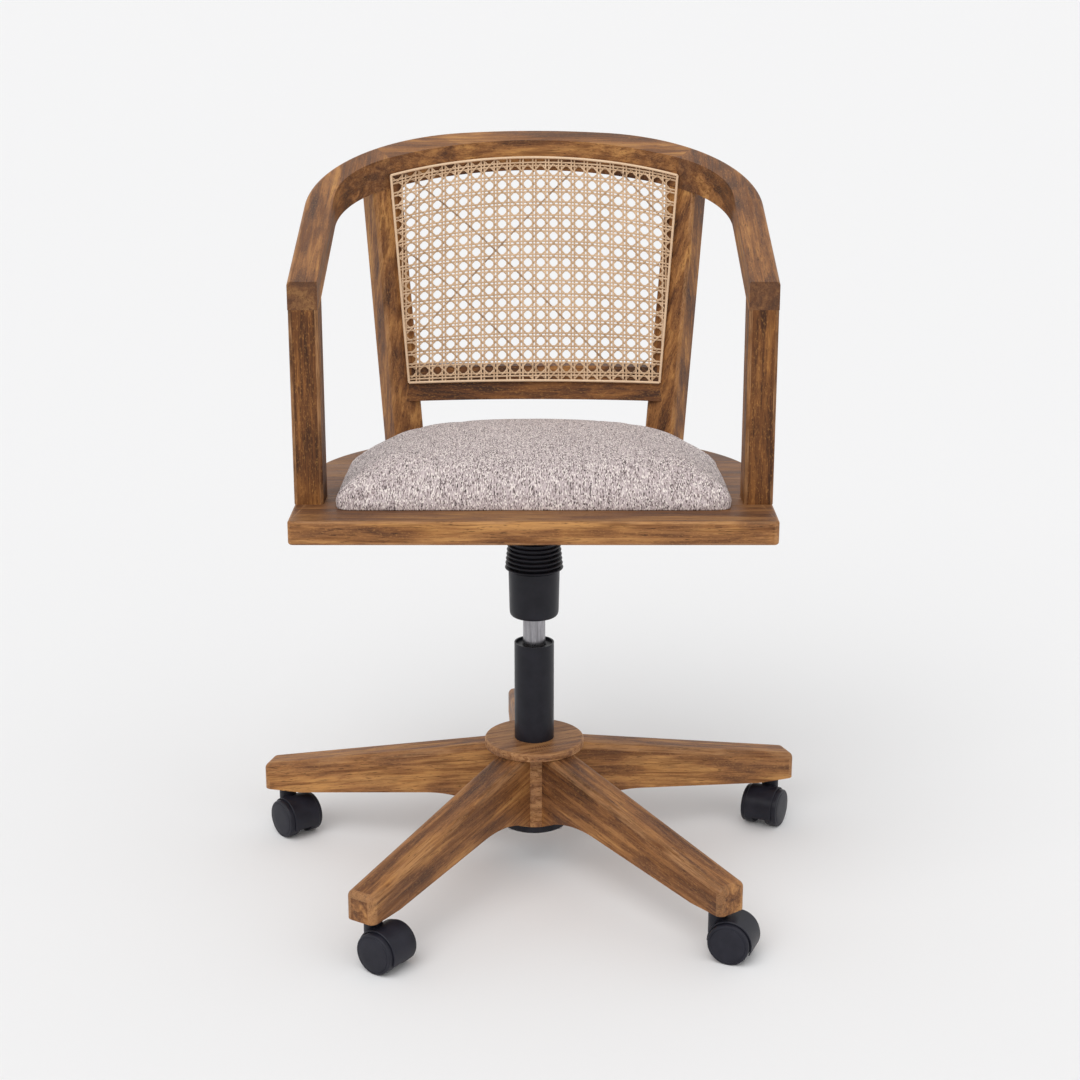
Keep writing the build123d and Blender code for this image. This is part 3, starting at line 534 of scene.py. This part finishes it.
uprights = StrandSet()
for column in range(-columnCount, columnCount + 1):
    for side in (-1, 1):
        x = columnX(column, side)
        lowest = max(0.0, (abs(x) - cane["lowHalf"]) / (cane["topHalf"] - cane["lowHalf"]))
        stops = [(lowest, 0.0)]
        for row in range(rowCount):
            for other in (-1, 1):
                stops.append((rowRise(row, other, x), side * other * cane["lift"]))
            stops.append((rowRise(row + 0.5, 0, x), 0.0))
        stops = sorted(stop for stop in stops if lowest <= stop[0] < cane["lastStop"]) + [(1.0, 0.0)]
        run = [(x, rise, lift) for rise, lift in stops]
        uprights.add(run, cane["straightShade"] * seeded(column, side, 1))
rows = StrandSet()
for row in range(rowCount):
    for side in (-1, 1):
        middle = rowRise(row, side, 0)
        if middle > cane["rowHigh"] or middle < cane["rowLow"]:
            continue
        edge = halfAt(middle)
        stops = [(-edge, 0.0), (edge, 0.0)]
        for column in range(-columnCount - 1, columnCount + 1):
            for other in (-1, 1):
                stops.append((columnX(column, other), -side * other * cane["lift"]))
            stops.append(((column + 0.5) * cane["pitchX"], 0.0))
        stops = sorted(stop for stop in stops if abs(stop[0]) <= edge)
        run = [(x, min(max(rowRise(row, side, x), 0.0), 1.0), lift) for x, lift in stops]
        rows.add(run, cane["straightShade"] * seeded(row, side, 2))
diagonals = StrandSet()
for lean in (-1, 1):
    for start in range(-columnCount - rowCount - 2, columnCount + rowCount + 3):
        run = []
        for half in range(-1, 2 * rowCount + 2):
            row = half / 2
            x = (start + lean * row + 0.5) * cane["pitchX"]
            rise = rowRise(row, 0, x)
            over = 1 if (half % 2 == 0) == (lean > 0) else -1
            if 0.0 <= rise <= 1.0 and abs(x) <= halfAt(rise):
                run.append((x, rise, over * cane["diagonalLift"] * cane["lift"]))
        if len(run) > 1:
            lot = seeded(start, lean, 3)
            shade = cane["paleShade"] + cane["shadeRange"] * lot
            diagonals.add(run, cane["darkShade"] if lot > cane["darkFrom"] else shade)
strands = strandTree("caneStrands")
weave = (("uprights", uprights, "strand"), ("rows", rows, "strand"), ("diagonals", diagonals, "diagonal"))
for label, strandSet, width in weave:
    settings = {
        "Width": cane[width], "Thickness": cane["thick"], "Sides": cane["sides"], "Finish": caneStraw,
    }
    part = grown("cane_" + label, strandSet.mesh("cane" + label), strands, settings)
    standFor(part, "cane_panel")
    print("cane", label, len(part.data.polygons), "faces")

# reed bead pressed over the edge of the cane
reed = {"width": 0.0032, "thick": 0.0028, "proud": 0.0027, "steps": 40, "sideSteps": 20, "sides": 10}
edgeRuns = []
for half, rise in (("topHalf", 1.0), ("lowHalf", 0.0)):
    steps = range(-reed["steps"], reed["steps"] + 1)
    edgeRuns.append([(i * cane[half] / reed["steps"], rise, reed["proud"]) for i in steps])
for side in (-1, 1):
    rises = [i / reed["sideSteps"] for i in range(reed["sideSteps"] + 1)]
    edgeRuns.append([(side * halfAt(rise), rise, reed["proud"]) for rise in rises])
bead = StrandSet()
for number, run in enumerate(edgeRuns):
    bead.add(run, 0.3 + 0.1 * number)
settings = {
    "Width": reed["width"], "Thickness": reed["thick"], "Sides": reed["sides"], "Finish": caneReed,
}
standFor(grown("cane_reed", bead.mesh("reedLines"), strands, settings), "cane_spline")
print("reed bead made")


# tweed with dark and cream flecks that run front to back
tweedLook = {
    "ground": (0.44, 0.365, 0.365),
    "pale": (0.63, 0.535, 0.535),
    "cream": (0.84, 0.76, 0.71),
    "brown": (0.180, 0.132, 0.124),
    "dark": (0.055, 0.042, 0.042),
    "knotScale": 1250.0, "knotStretch": (1.0, 0.40, 1), "slubScale": 640.0, "slubStretch": (1.0, 0.05, 1),
    "creamShare": 0.22,
}


def tweedMaterial(name):
    material, tree, shader = newMaterial(name)
    look = tweedLook
    cloth = addNode(tree, "ShaderNodeUVMap", uv_map="cloth").outputs["UV"]
    knots = stretched(tree, cloth, look["knotStretch"])
    inputs = {"Vector": knots, "Scale": look["knotScale"], "Randomness": 0.8}
    cells = addNode(tree, "ShaderNodeTexVoronoi", inputs).outputs
    pick = addNode(tree, "ShaderNodeSeparateColor", {"Color": cells["Color"]}).outputs
    slub = noise(tree, stretched(tree, cloth, look["slubStretch"]), look["slubScale"], 2.0, 0.55)
    lot = weighed(tree, (pick["Red"], 0.66), (slub, 0.66))
    colour = mixColour(tree, pick["Green"], look["ground"], look["pale"])
    creamy = maths(tree, "LESS_THAN", pick["Blue"], look["creamShare"])
    colour = mixColour(tree, creamy, colour, look["cream"])
    colour = mixColour(tree, span(tree, lot, 0.77, 0.82, 0.0, 0.8), colour, look["brown"])
    colour = mixColour(tree, span(tree, lot, 0.89, 0.94, 0.0, 0.9), colour, look["dark"])
    setSockets(tree, shader, {
        "Base Color": colour, "Roughness": 0.95, "Sheen Weight": 0.2, "Sheen Roughness": 0.5,
    })
    bumped(tree, shader, weighed(tree, (slub, 0.5), (cells["Distance"], -0.7)), 0.5, 0.0008)
    return material


# cushion: crowned form swollen by a short cloth run, metres and degrees
cushionPlan = {
    "half": 0.2275, "front": -0.1850, "sideEnd": -0.036, "corner": 0.163, "turn": 75.0, "frontCorner": 0.016,
    "seat": 0.5163, "side": 0.013, "crown": 0.050, "drawIn": 0.002, "reach": 0.150, "dome": 86,
    "waist": 0.5, "waistIn": 0.15, "rings": 12, "frontSteps": 8, "sideSteps": 6, "arcSteps": 28,
    "below": 0.012, "voxel": 0.005, "smoothing": 8, "steep": 0.55,
    "pressure": 4.0, "quality": 4, "clothSteps": 20, "cap": 0.006, "hold": 0.004,
}


def cushionOutline(inset):
    plan = cushionPlan
    half, front, radius = plan["half"] - inset, plan["front"] + inset, plan["corner"] - inset
    turn = radians(plan["turn"])
    cornerX = half - radius
    flat = radius + cornerX / cos(turn)
    flatY = plan["sideEnd"] + (radius - flat) * sin(turn)
    small, steps, count = plan["frontCorner"], plan["sideSteps"], plan["arcSteps"]
    right = []
    for i in range(plan["frontSteps"] + 1):
        angle = -pi / 2 + i * pi / (2 * plan["frontSteps"])
        right.append((half - small + small * cos(angle), front + small + small * sin(angle)))
    for i in range(1, steps):
        right.append((half, front + small + (plan["sideEnd"] - front - small) * i / steps))
    for i in range(count):
        angle = turn * i / count
        right.append((cornerX + radius * cos(angle), plan["sideEnd"] + radius * sin(angle)))
    for i in range(count // 2 + 1):
        angle = turn + (pi / 2 - turn) * i / (count // 2)
        right.append((flat * cos(angle), flatY + flat * sin(angle)))
    left = [(-x, y) for x, y in reversed(right[:-1])]
    base = [(x * (half - small) / steps, front) for x in range(1 - steps, steps)]
    return right + left + base


def cushionShell():
    plan = cushionPlan
    build = bmesh.new()
    levels = [
        (plan["seat"] - plan["below"], plan["drawIn"]),
        (plan["seat"] + plan["side"] * plan["waist"], plan["drawIn"] * plan["waistIn"]),
    ]
    for ring in range(plan["rings"]):
        angle = radians(plan["dome"] * ring / (plan["rings"] - 1))
        level = plan["seat"] + plan["side"] + (plan["crown"] - plan["side"]) * sin(angle)
        levels.append((level, plan["reach"] * (1 - cos(angle))))
    loops = []
    for level, inset in levels:
        loops.append([build.verts.new((x, y, level)) for x, y in cushionOutline(inset)])
    for lower, upper in zip(loops, loops[1:]):
        for i in range(len(lower)):
            j = (i + 1) % len(lower)
            build.faces.new((lower[i], lower[j], upper[j], upper[i]))
    build.faces.new(list(reversed(loops[0])))
    build.faces.new(loops[-1])
    bmesh.ops.recalc_face_normals(build, faces=build.faces)
    return closedMesh(build, "cushionShell")


cushion = addMesh("cushion_cover", cushionShell())
remesh = cushion.modifiers.new("remesh", "REMESH")
remesh.mode = "VOXEL"
remesh.voxel_size = cushionPlan["voxel"]
cushion.data = evaluatedMesh(cushion)
soften = cushion.modifiers.new("soften", "SMOOTH")
soften.factor = 0.5
soften.iterations = cushionPlan["smoothing"]
cushion.data = evaluatedMesh(cushion)
before = [vertex.co.copy() for vertex in cushion.data.vertices]
foot = cushionPlan["seat"] + cushionPlan["hold"]
held = cushion.vertex_groups.new(name="held")
held.add([index for index, place in enumerate(before) if place.z < foot], 1.0, "REPLACE")
cloth = cushion.modifiers.new("cloth", "CLOTH")
cloth.settings.vertex_group_mass = "held"
cloth.settings.use_pressure = True
cloth.settings.uniform_pressure_force = cushionPlan["pressure"]
cloth.settings.effector_weights.gravity = 0.0
cloth.settings.quality = cushionPlan["quality"]
for step in range(1, cushionPlan["clothSteps"] + 1):
    scene.frame_set(step)
swollen = evaluatedMesh(cushion)
for vertex, old in zip(swollen.vertices, before):
    move = vertex.co - old
    if move.length > cushionPlan["cap"]:
        move *= cushionPlan["cap"] / move.length
    vertex.co = old + move
cushion.data = swollen
scene.frame_set(1)
finer = cushion.modifiers.new("finer", "SUBSURF")
finer.levels = 1
finer.render_levels = 1
cushion.data = evaluatedMesh(cushion)
# cut flat where it lies on the board, and close the cut
build = bmesh.new()
build.from_mesh(cushion.data)
everything = [*build.verts, *build.edges, *build.faces]
boardTop = (0, 0, cushionPlan["seat"])
bmesh.ops.bisect_plane(build, geom=everything, plane_co=boardTop, plane_no=(0, 0, 1), clear_inner=True)
bmesh.ops.holes_fill(build, edges=[edge for edge in build.edges if edge.is_boundary])
bmesh.ops.triangulate(build, faces=[face for face in build.faces if len(face.verts) > 4])
bmesh.ops.recalc_face_normals(build, faces=build.faces)
build.to_mesh(cushion.data)
build.free()
# cloth map: from above on the crown, from the front or side where it is steep
clothMap = cushion.data.uv_layers.new(name="cloth")
for face in cushion.data.polygons:
    face.use_smooth = True
    steep = abs(face.normal.z) < cushionPlan["steep"]
    for loop in face.loop_indices:
        x, y, z = cushion.data.vertices[cushion.data.loops[loop].vertex_index].co
        if not steep:
            clothMap.data[loop].uv = (x, y)
        elif abs(face.normal.y) >= abs(face.normal.x):
            clothMap.data[loop].uv = (x, z)
        else:
            clothMap.data[loop].uv = (y, z)
takeOver(cushion, "seat_cushion", tweedMaterial("tweed"))
print("cushion made,", len(cushion.data.polygons), "faces")


# turned pieces: a profile of (radius, height) spun about an axis
def turned(name, profile, place, axis, count):
    build = bmesh.new()
    ax = Vector(axis).normalized()
    side = ax.orthogonal().normalized()
    other = ax.cross(side)
    angles = [2 * pi * i / count for i in range(count)]
    loops = []
    for radius, height in profile:
        centre = Vector(place) + ax * height
        if radius < 1e-6:
            loops.append([build.verts.new(centre)])
            continue
        spokes = [(side * cos(angle) + other * sin(angle)) * radius for angle in angles]
        loops.append([build.verts.new(centre + spoke) for spoke in spokes])
    pairs = list(zip(loops, loops[1:]))
    if len(loops[0]) > 1 and len(loops[-1]) > 1:
        pairs.append((loops[-1], loops[0]))
    for first, second in pairs:
        for i in range(count):
            j = (i + 1) % count
            corners = [first[i % len(first)], first[j % len(first)]]
            corners += [second[j % len(second)], second[i % len(second)]]
            build.faces.new(list(dict.fromkeys(corners)))
    bmesh.ops.recalc_face_normals(build, faces=build.faces)
    smoothByAngle(build, shading["turned"])
    return addMesh(name, closedMesh(build, name))


def rounded(points, radius, steps):
    # rounds the corners of a closed profile
    out = []
    total = len(points)
    for i in range(total):
        previous, here, following = (Vector(points[(i + k) % total]) for k in (-1, 0, 1))
        reach = min(radius, (previous - here).length * 0.45, (following - here).length * 0.45)
        start = here + (previous - here).normalized() * reach
        end = here + (following - here).normalized() * reach
        for step in range(steps + 1):
            t = step / steps
            out.append(tuple(start * (1 - t) ** 2 + here * 2 * t * (1 - t) + end * t ** 2))
    return out


# dust boot: cup and sleeve turned, ribs grown as rings
boot = {
    "bottom": 0.330, "cupTop": 0.390, "collarTop": 0.4496,
    "bore": 0.0272, "foot": 0.0309, "cup": 0.032, "root": 0.0302, "collar": 0.027, "socket": 0.0212,
    "lip": 0.0008, "footEase": ((0.0013, 0.0013), (0.0004, 0.0036), (0.0, 0.0075)),
    "rootTaper": 0.001, "collarDepth": 0.016, "socketDepth": 0.018, "boreDepth": 0.020,
    "rounding": 0.0045, "roundSteps": 6, "sides": 96,
    "ribs": 8, "pitch": 0.0057, "lowRadius": 0.0364, "shrink": 0.0006, "ribHeight": 0.0037, "ribDepth": 0.007,
}


def ringTree(name):
    tree, given = newTree(name, {
        "Count": "Int", "Pitch": "Float", "First Height": "Float", "Low Radius": "Float",
        "Shrink": "Float", "Rib Height": "Float", "Rib Depth": "Float", "Finish": "Material",
    })
    step = addNode(tree, "ShaderNodeCombineXYZ", {"Z": given["Pitch"]}).outputs[0]
    first = addNode(tree, "ShaderNodeCombineXYZ", {"Z": given["First Height"]}).outputs[0]
    inputs = {"Count": given["Count"], "Start Location": first, "Offset": step}
    line = addNode(tree, "GeometryNodeMeshLine", inputs)
    path = addNode(tree, "GeometryNodeCurvePrimitiveCircle", {"Resolution": 72, "Radius": 1.0})
    section = ovalSection(tree, 14, given["Rib Depth"], given["Rib Height"])
    index = addNode(tree, "GeometryNodeInputIndex").outputs[0]
    radius = maths(tree, "SUBTRACT", given["Low Radius"], maths(tree, "MULTIPLY", index, given["Shrink"]))
    across = addNode(tree, "ShaderNodeCombineXYZ", {"X": radius, "Y": radius, "Z": 1.0})
    inputs = {
        "Points": line.outputs["Mesh"], "Instance": path.outputs["Curve"], "Scale": across.outputs[0],
    }
    spread = addNode(tree, "GeometryNodeInstanceOnPoints", inputs).outputs["Instances"]
    real = addNode(tree, "GeometryNodeRealizeInstances", {"Geometry": spread}).outputs["Geometry"]
    ribs = addNode(tree, "GeometryNodeCurveToMesh", {"Curve": real, "Profile Curve": section})
    return endTree(tree, ribs.outputs["Mesh"], given["Finish"])


cupProfile = [(boot["bore"], boot["bottom"]), (boot["bore"] + boot["lip"], boot["bottom"])]
cupProfile += [(boot["foot"] - back, boot["bottom"] + up) for back, up in boot["footEase"]]
cupProfile += [
    (boot["cup"], boot["cupTop"]),
    (boot["root"], boot["cupTop"]),
    (boot["root"] - boot["rootTaper"], boot["collarTop"] - boot["collarDepth"]),
    (boot["collar"], boot["collarTop"]),
    (boot["socket"], boot["collarTop"]),
    (boot["socket"], boot["collarTop"] - boot["socketDepth"]),
    (boot["bore"], boot["collarTop"] - boot["boreDepth"]),
]
cupProfile = rounded(cupProfile, boot["rounding"], boot["roundSteps"])
takeOver(turned("boot_cup", cupProfile, (0, 0, 0), (0, 0, 1), boot["sides"]), "dust_boot", bootPlastic)
settings = {
    "Count": boot["ribs"], "Pitch": boot["pitch"], "First Height": boot["cupTop"] + boot["pitch"] / 2,
    "Low Radius": boot["lowRadius"] - boot["ribDepth"] / 2, "Shrink": boot["shrink"],
    "Rib Height": boot["ribHeight"], "Rib Depth": boot["ribDepth"], "Finish": bootPlastic,
}
ribs = grown("boot_ribs", bpy.data.meshes.new("ribSeed"), ringTree("bootRibs"), settings)
for face in ribs.data.polygons:
    face.use_smooth = True
standFor(ribs, "dust_boot")
print("boot made,", len(ribs.data.polygons), "rib faces")


# caster wheels: wide tread and a flat outer face inside a step ring
wheel = {
    "radius": 0.025, "inside": 0.0085, "outside": 0.0255, "bore": 0.00306, "boreEnd": 0.0225,
    "offset": 0.020, "stemReach": 0.341, "sides": 72,
    # radius and depth from the inner or the outer face
    "inner": ((0.0232, 0.0), (0.0245, 0.0005), (0.025, 0.0018)),
    "outer": (
        (0.025, 0.0030), (0.0248, 0.0019), (0.0242, 0.0011), (0.0232, 0.0008), (0.0216, 0.0008),
        (0.0213, 0.0010), (0.0209, 0.0004), (0.0203, 0.0002), (0.0120, 0.0), (0.0, 0.0),
    ),
}
axleTurns = [radians(turn) for turn in (118, 40, 54, 68, -27)]
wheelProfile = [(0.0, wheel["boreEnd"]), (wheel["bore"], wheel["boreEnd"]), (wheel["bore"], wheel["inside"])]
wheelProfile += [(radius, wheel["inside"] + depth) for radius, depth in wheel["inner"]]
wheelProfile += [(radius, wheel["outside"] - depth) for radius, depth in wheel["outer"]]
for index, (legTurn, axleTurn) in enumerate(zip(legTurns, axleTurns), start=1):
    stem = Vector((wheel["stemReach"] * cos(legTurn), wheel["stemReach"] * sin(legTurn), 0))
    trail = Vector((wheel["offset"] * sin(axleTurn), -wheel["offset"] * cos(axleTurn), wheel["radius"]))
    for name, side in (("left", -1), ("right", 1)):
        axis = Vector((cos(axleTurn), sin(axleTurn), 0)) * side
        disc = turned(f"caster_{index}_{name}_disc", wheelProfile, stem + trail, axis, wheel["sides"])
        takeOver(disc, f"caster_{index}_{name}_wheel", casterPlastic)
print("wheels made")

# screws: head with a cross recess on a plain shank, one tree sets them all
screwPlan = {
    "head": 0.005, "height": 0.004, "rim": 0.78, "shoulder": 0.35, "shank": 0.0025, "sides": 24,
    "cross": 0.0028, "slot": 0.0009, "sink": 0.0016, "crossFloor": 0.8, "turnStep": 0.7,
}


def screwHead(length):
    plan = screwPlan
    build = bmesh.new()
    count = plan["sides"]
    profile = [
        (plan["head"] * plan["rim"], 0.0), (plan["head"], plan["height"] * plan["shoulder"]),
        (plan["head"], plan["height"]), (plan["shank"], plan["height"]), (plan["shank"], length),
    ]
    angles = [2 * pi * i / count for i in range(count)]
    rings = []
    for radius, height in profile:
        places = [(radius * cos(angle), radius * sin(angle), height) for angle in angles]
        rings.append([build.verts.new(place) for place in places])
    for first, second in zip(rings, rings[1:]):
        for i in range(count):
            j = (i + 1) % count
            build.faces.new((first[i], first[j], second[j], second[i]))
    build.faces.new(rings[-1])
    # the cross is cut into the head's end
    a, t = plan["cross"], plan["slot"] / 2
    plus = [
        (a, -t), (a, t), (t, t), (t, a), (-t, a), (-t, t),
        (-a, t), (-a, -t), (-t, -t), (-t, -a), (t, -a), (t, -t),
    ]
    shrink = plan["crossFloor"]
    rim = [build.verts.new((x, y, 0.0)) for x, y in plus]
    floor = [build.verts.new((x * shrink, y * shrink, plan["sink"])) for x, y in plus]
    corners = len(plus)
    edges = [build.edges.new((rim[i], rim[(i + 1) % corners])) for i in range(corners)]
    edges += [edge for edge in build.edges if edge.verts[0] in rings[0] and edge.verts[1] in rings[0]]
    bmesh.ops.triangle_fill(build, edges=edges, use_beauty=True)
    for i in range(corners):
        j = (i + 1) % corners
        build.faces.new((rim[i], rim[j], floor[j], floor[i]))
    build.faces.new(floor)
    bmesh.ops.remove_doubles(build, verts=build.verts, dist=1e-6)
    bmesh.ops.recalc_face_normals(build, faces=build.faces)
    smoothByAngle(build, shading["screw"])
    return closedMesh(build, "screw")


def screwTree(name):
    tree, given = newTree(name, {"Screw": "Object", "Turn Step": "Float", "Finish": "Material"})
    screw = addNode(tree, "GeometryNodeObjectInfo", {"Object": given["Screw"]}).outputs["Geometry"]
    index = addNode(tree, "GeometryNodeInputIndex").outputs[0]
    turn = maths(tree, "MULTIPLY", index, given["Turn Step"])
    spin = addNode(tree, "ShaderNodeCombineXYZ", {"Z": turn}).outputs[0]
    inputs = {"Points": given["Geometry"], "Instance": screw, "Rotation": spin}
    spread = addNode(tree, "GeometryNodeInstanceOnPoints", inputs)
    return endTree(tree, spread.outputs["Instances"], given["Finish"])


# each set of screws: level of the heads, length and places
hubTurns = [radians(93 + 120 * i) for i in range(3)]
hubCircle = 0.035
postPlaces = [(x, -0.135) for x in (-0.259, 0.259)] + [(x, 0.122) for x in (-0.166, 0.166)]
screwPlaces = {
    "post_screws": (0.488, 0.062, postPlaces),
    "cushion_screws": (0.488, 0.034, [(x, y) for x in (-0.14, 0.14) for y in (-0.098, 0.062)]),
    "seat_plate_screws": (0.481, 0.030, [(x, y) for x in (-0.079, 0.079) for y in (-0.059, 0.059)]),
    "hub_plate_screws": (0.046, 0.028, [(hubCircle * cos(turn), hubCircle * sin(turn)) for turn in hubTurns]),
}
setScrews = screwTree("setScrews")
for node, (level, length, places) in screwPlaces.items():
    pattern = addMesh("screwPattern", screwHead(length))
    points = bpy.data.meshes.new("screwPoints")
    points.from_pydata([(x, y, level) for x, y in places], [], [])
    settings = {"Screw": pattern, "Turn Step": screwPlan["turnStep"], "Finish": zincSteel}
    screws = grown(node + "_set", points, setScrews, settings)
    bpy.data.objects.remove(pattern)
    standFor(screws, node)
print("screws set")

# remaining solids keep their shape and get clean shading and a finish
finishPlan = {
    "outer_tube": powderCoat, "seat_plate": powderCoat, "taper_socket": powderCoat, "hub_plate": powderCoat,
    "gas_cylinder": liftSteel, "piston_rod": liftSteel, "release_pin": liftSteel, "guide_bush": bootPlastic,
    "bump_stop": stopRubber, "lever_grip": bootPlastic, "release_lever": zincSteel, "thrust_bearing": zincSteel,
    "retaining_clip": zincSteel, "caster_stems": zincSteel,
}
for index in range(1, 6):
    finishPlan[f"caster_{index}_hood"] = casterPlastic
    finishPlan[f"caster_{index}_axle"] = zincSteel
paleWood = woodMaterial("paleWood", (0.2, 0.2, 0.2), (0, 0, 0), 0.16)
for node in ("bow_dowels", "leg_dowels", "cushion_base"):
    finishPlan[node] = paleWood
for node, material in finishPlan.items():
    dressedCopy(node, material)
print("solids dressed,", len(finishPlan), "pieces")

# pale floor that fills the view
stagePlan = {
    "size": 60.0, "floor": (0.86, 0.86, 0.865), "floorRoughness": 0.9, "world": 0.66, "backdrop": 0.90,
    # strength, spread and turn of each lamp
    "lamps": {"key": (1.25, 50, (38, 0, -28)), "fill": (0.38, 60, (48, 0, 40))},
}
size = stagePlan["size"]
floorMesh = bpy.data.meshes.new("floor")
corners = [(-size, -size, 0), (size, -size, 0), (size, size, 0), (-size, size, 0)]
floorMesh.from_pydata(corners, [], [(0, 1, 2, 3)])
floor = addMesh("floor", floorMesh)
floorPaint, tree, shader = newMaterial("floorPaint")
setSockets(tree, shader, {"Base Color": (*stagePlan["floor"], 1), "Roughness": stagePlan["floorRoughness"]})
floor.data.materials.append(floorPaint)

# soft studio light: even sky that looks as pale as the floor, a wide key from above and a gentle fill
world = bpy.data.worlds.new("studio")
scene.world = world
world.use_nodes = True
sky = world.node_tree
rays = addNode(sky, "ShaderNodeLightPath").outputs
shown = maths(sky, "MAXIMUM", rays["Is Glossy Ray"], rays["Is Transmission Ray"])
shown = maths(sky, "MAXIMUM", rays["Is Camera Ray"], shown)
setSockets(sky, sky.nodes["Background"], {
    "Color": (1.0, 1.0, 1.0, 1),
    "Strength": span(sky, shown, 0.0, 1.0, stagePlan["world"], stagePlan["backdrop"]),
})
for name, (strength, angle, turn) in stagePlan["lamps"].items():
    lamp = bpy.data.lights.new(name, "SUN")
    lamp.energy = strength
    lamp.angle = radians(angle)
    holder = bpy.data.objects.new(name, lamp)
    holder.rotation_euler = [radians(part) for part in turn]
    scene.collection.objects.link(holder)

# camera at the viewing angle of the photograph, focal length from pixels
view = {
    "place": (0.00732, -2.381, 1.12619), "pitch": 16.36,
    "focalPixels": 2000, "imagePixels": 1080, "sensor": 36, "clipEnd": 200,
}
lens = bpy.data.cameras.new("view")
lens.sensor_width = view["sensor"]
lens.lens = view["focalPixels"] / view["imagePixels"] * view["sensor"]
lens.clip_end = view["clipEnd"]
camera = bpy.data.objects.new("view", lens)
camera.location = view["place"]
camera.rotation_euler = (radians(90 - view["pitch"]), 0, 0)
scene.collection.objects.link(camera)
scene.camera = camera
scene.view_settings.view_transform = "Standard"

bpy.context.view_layer.update()
print("scene ready")
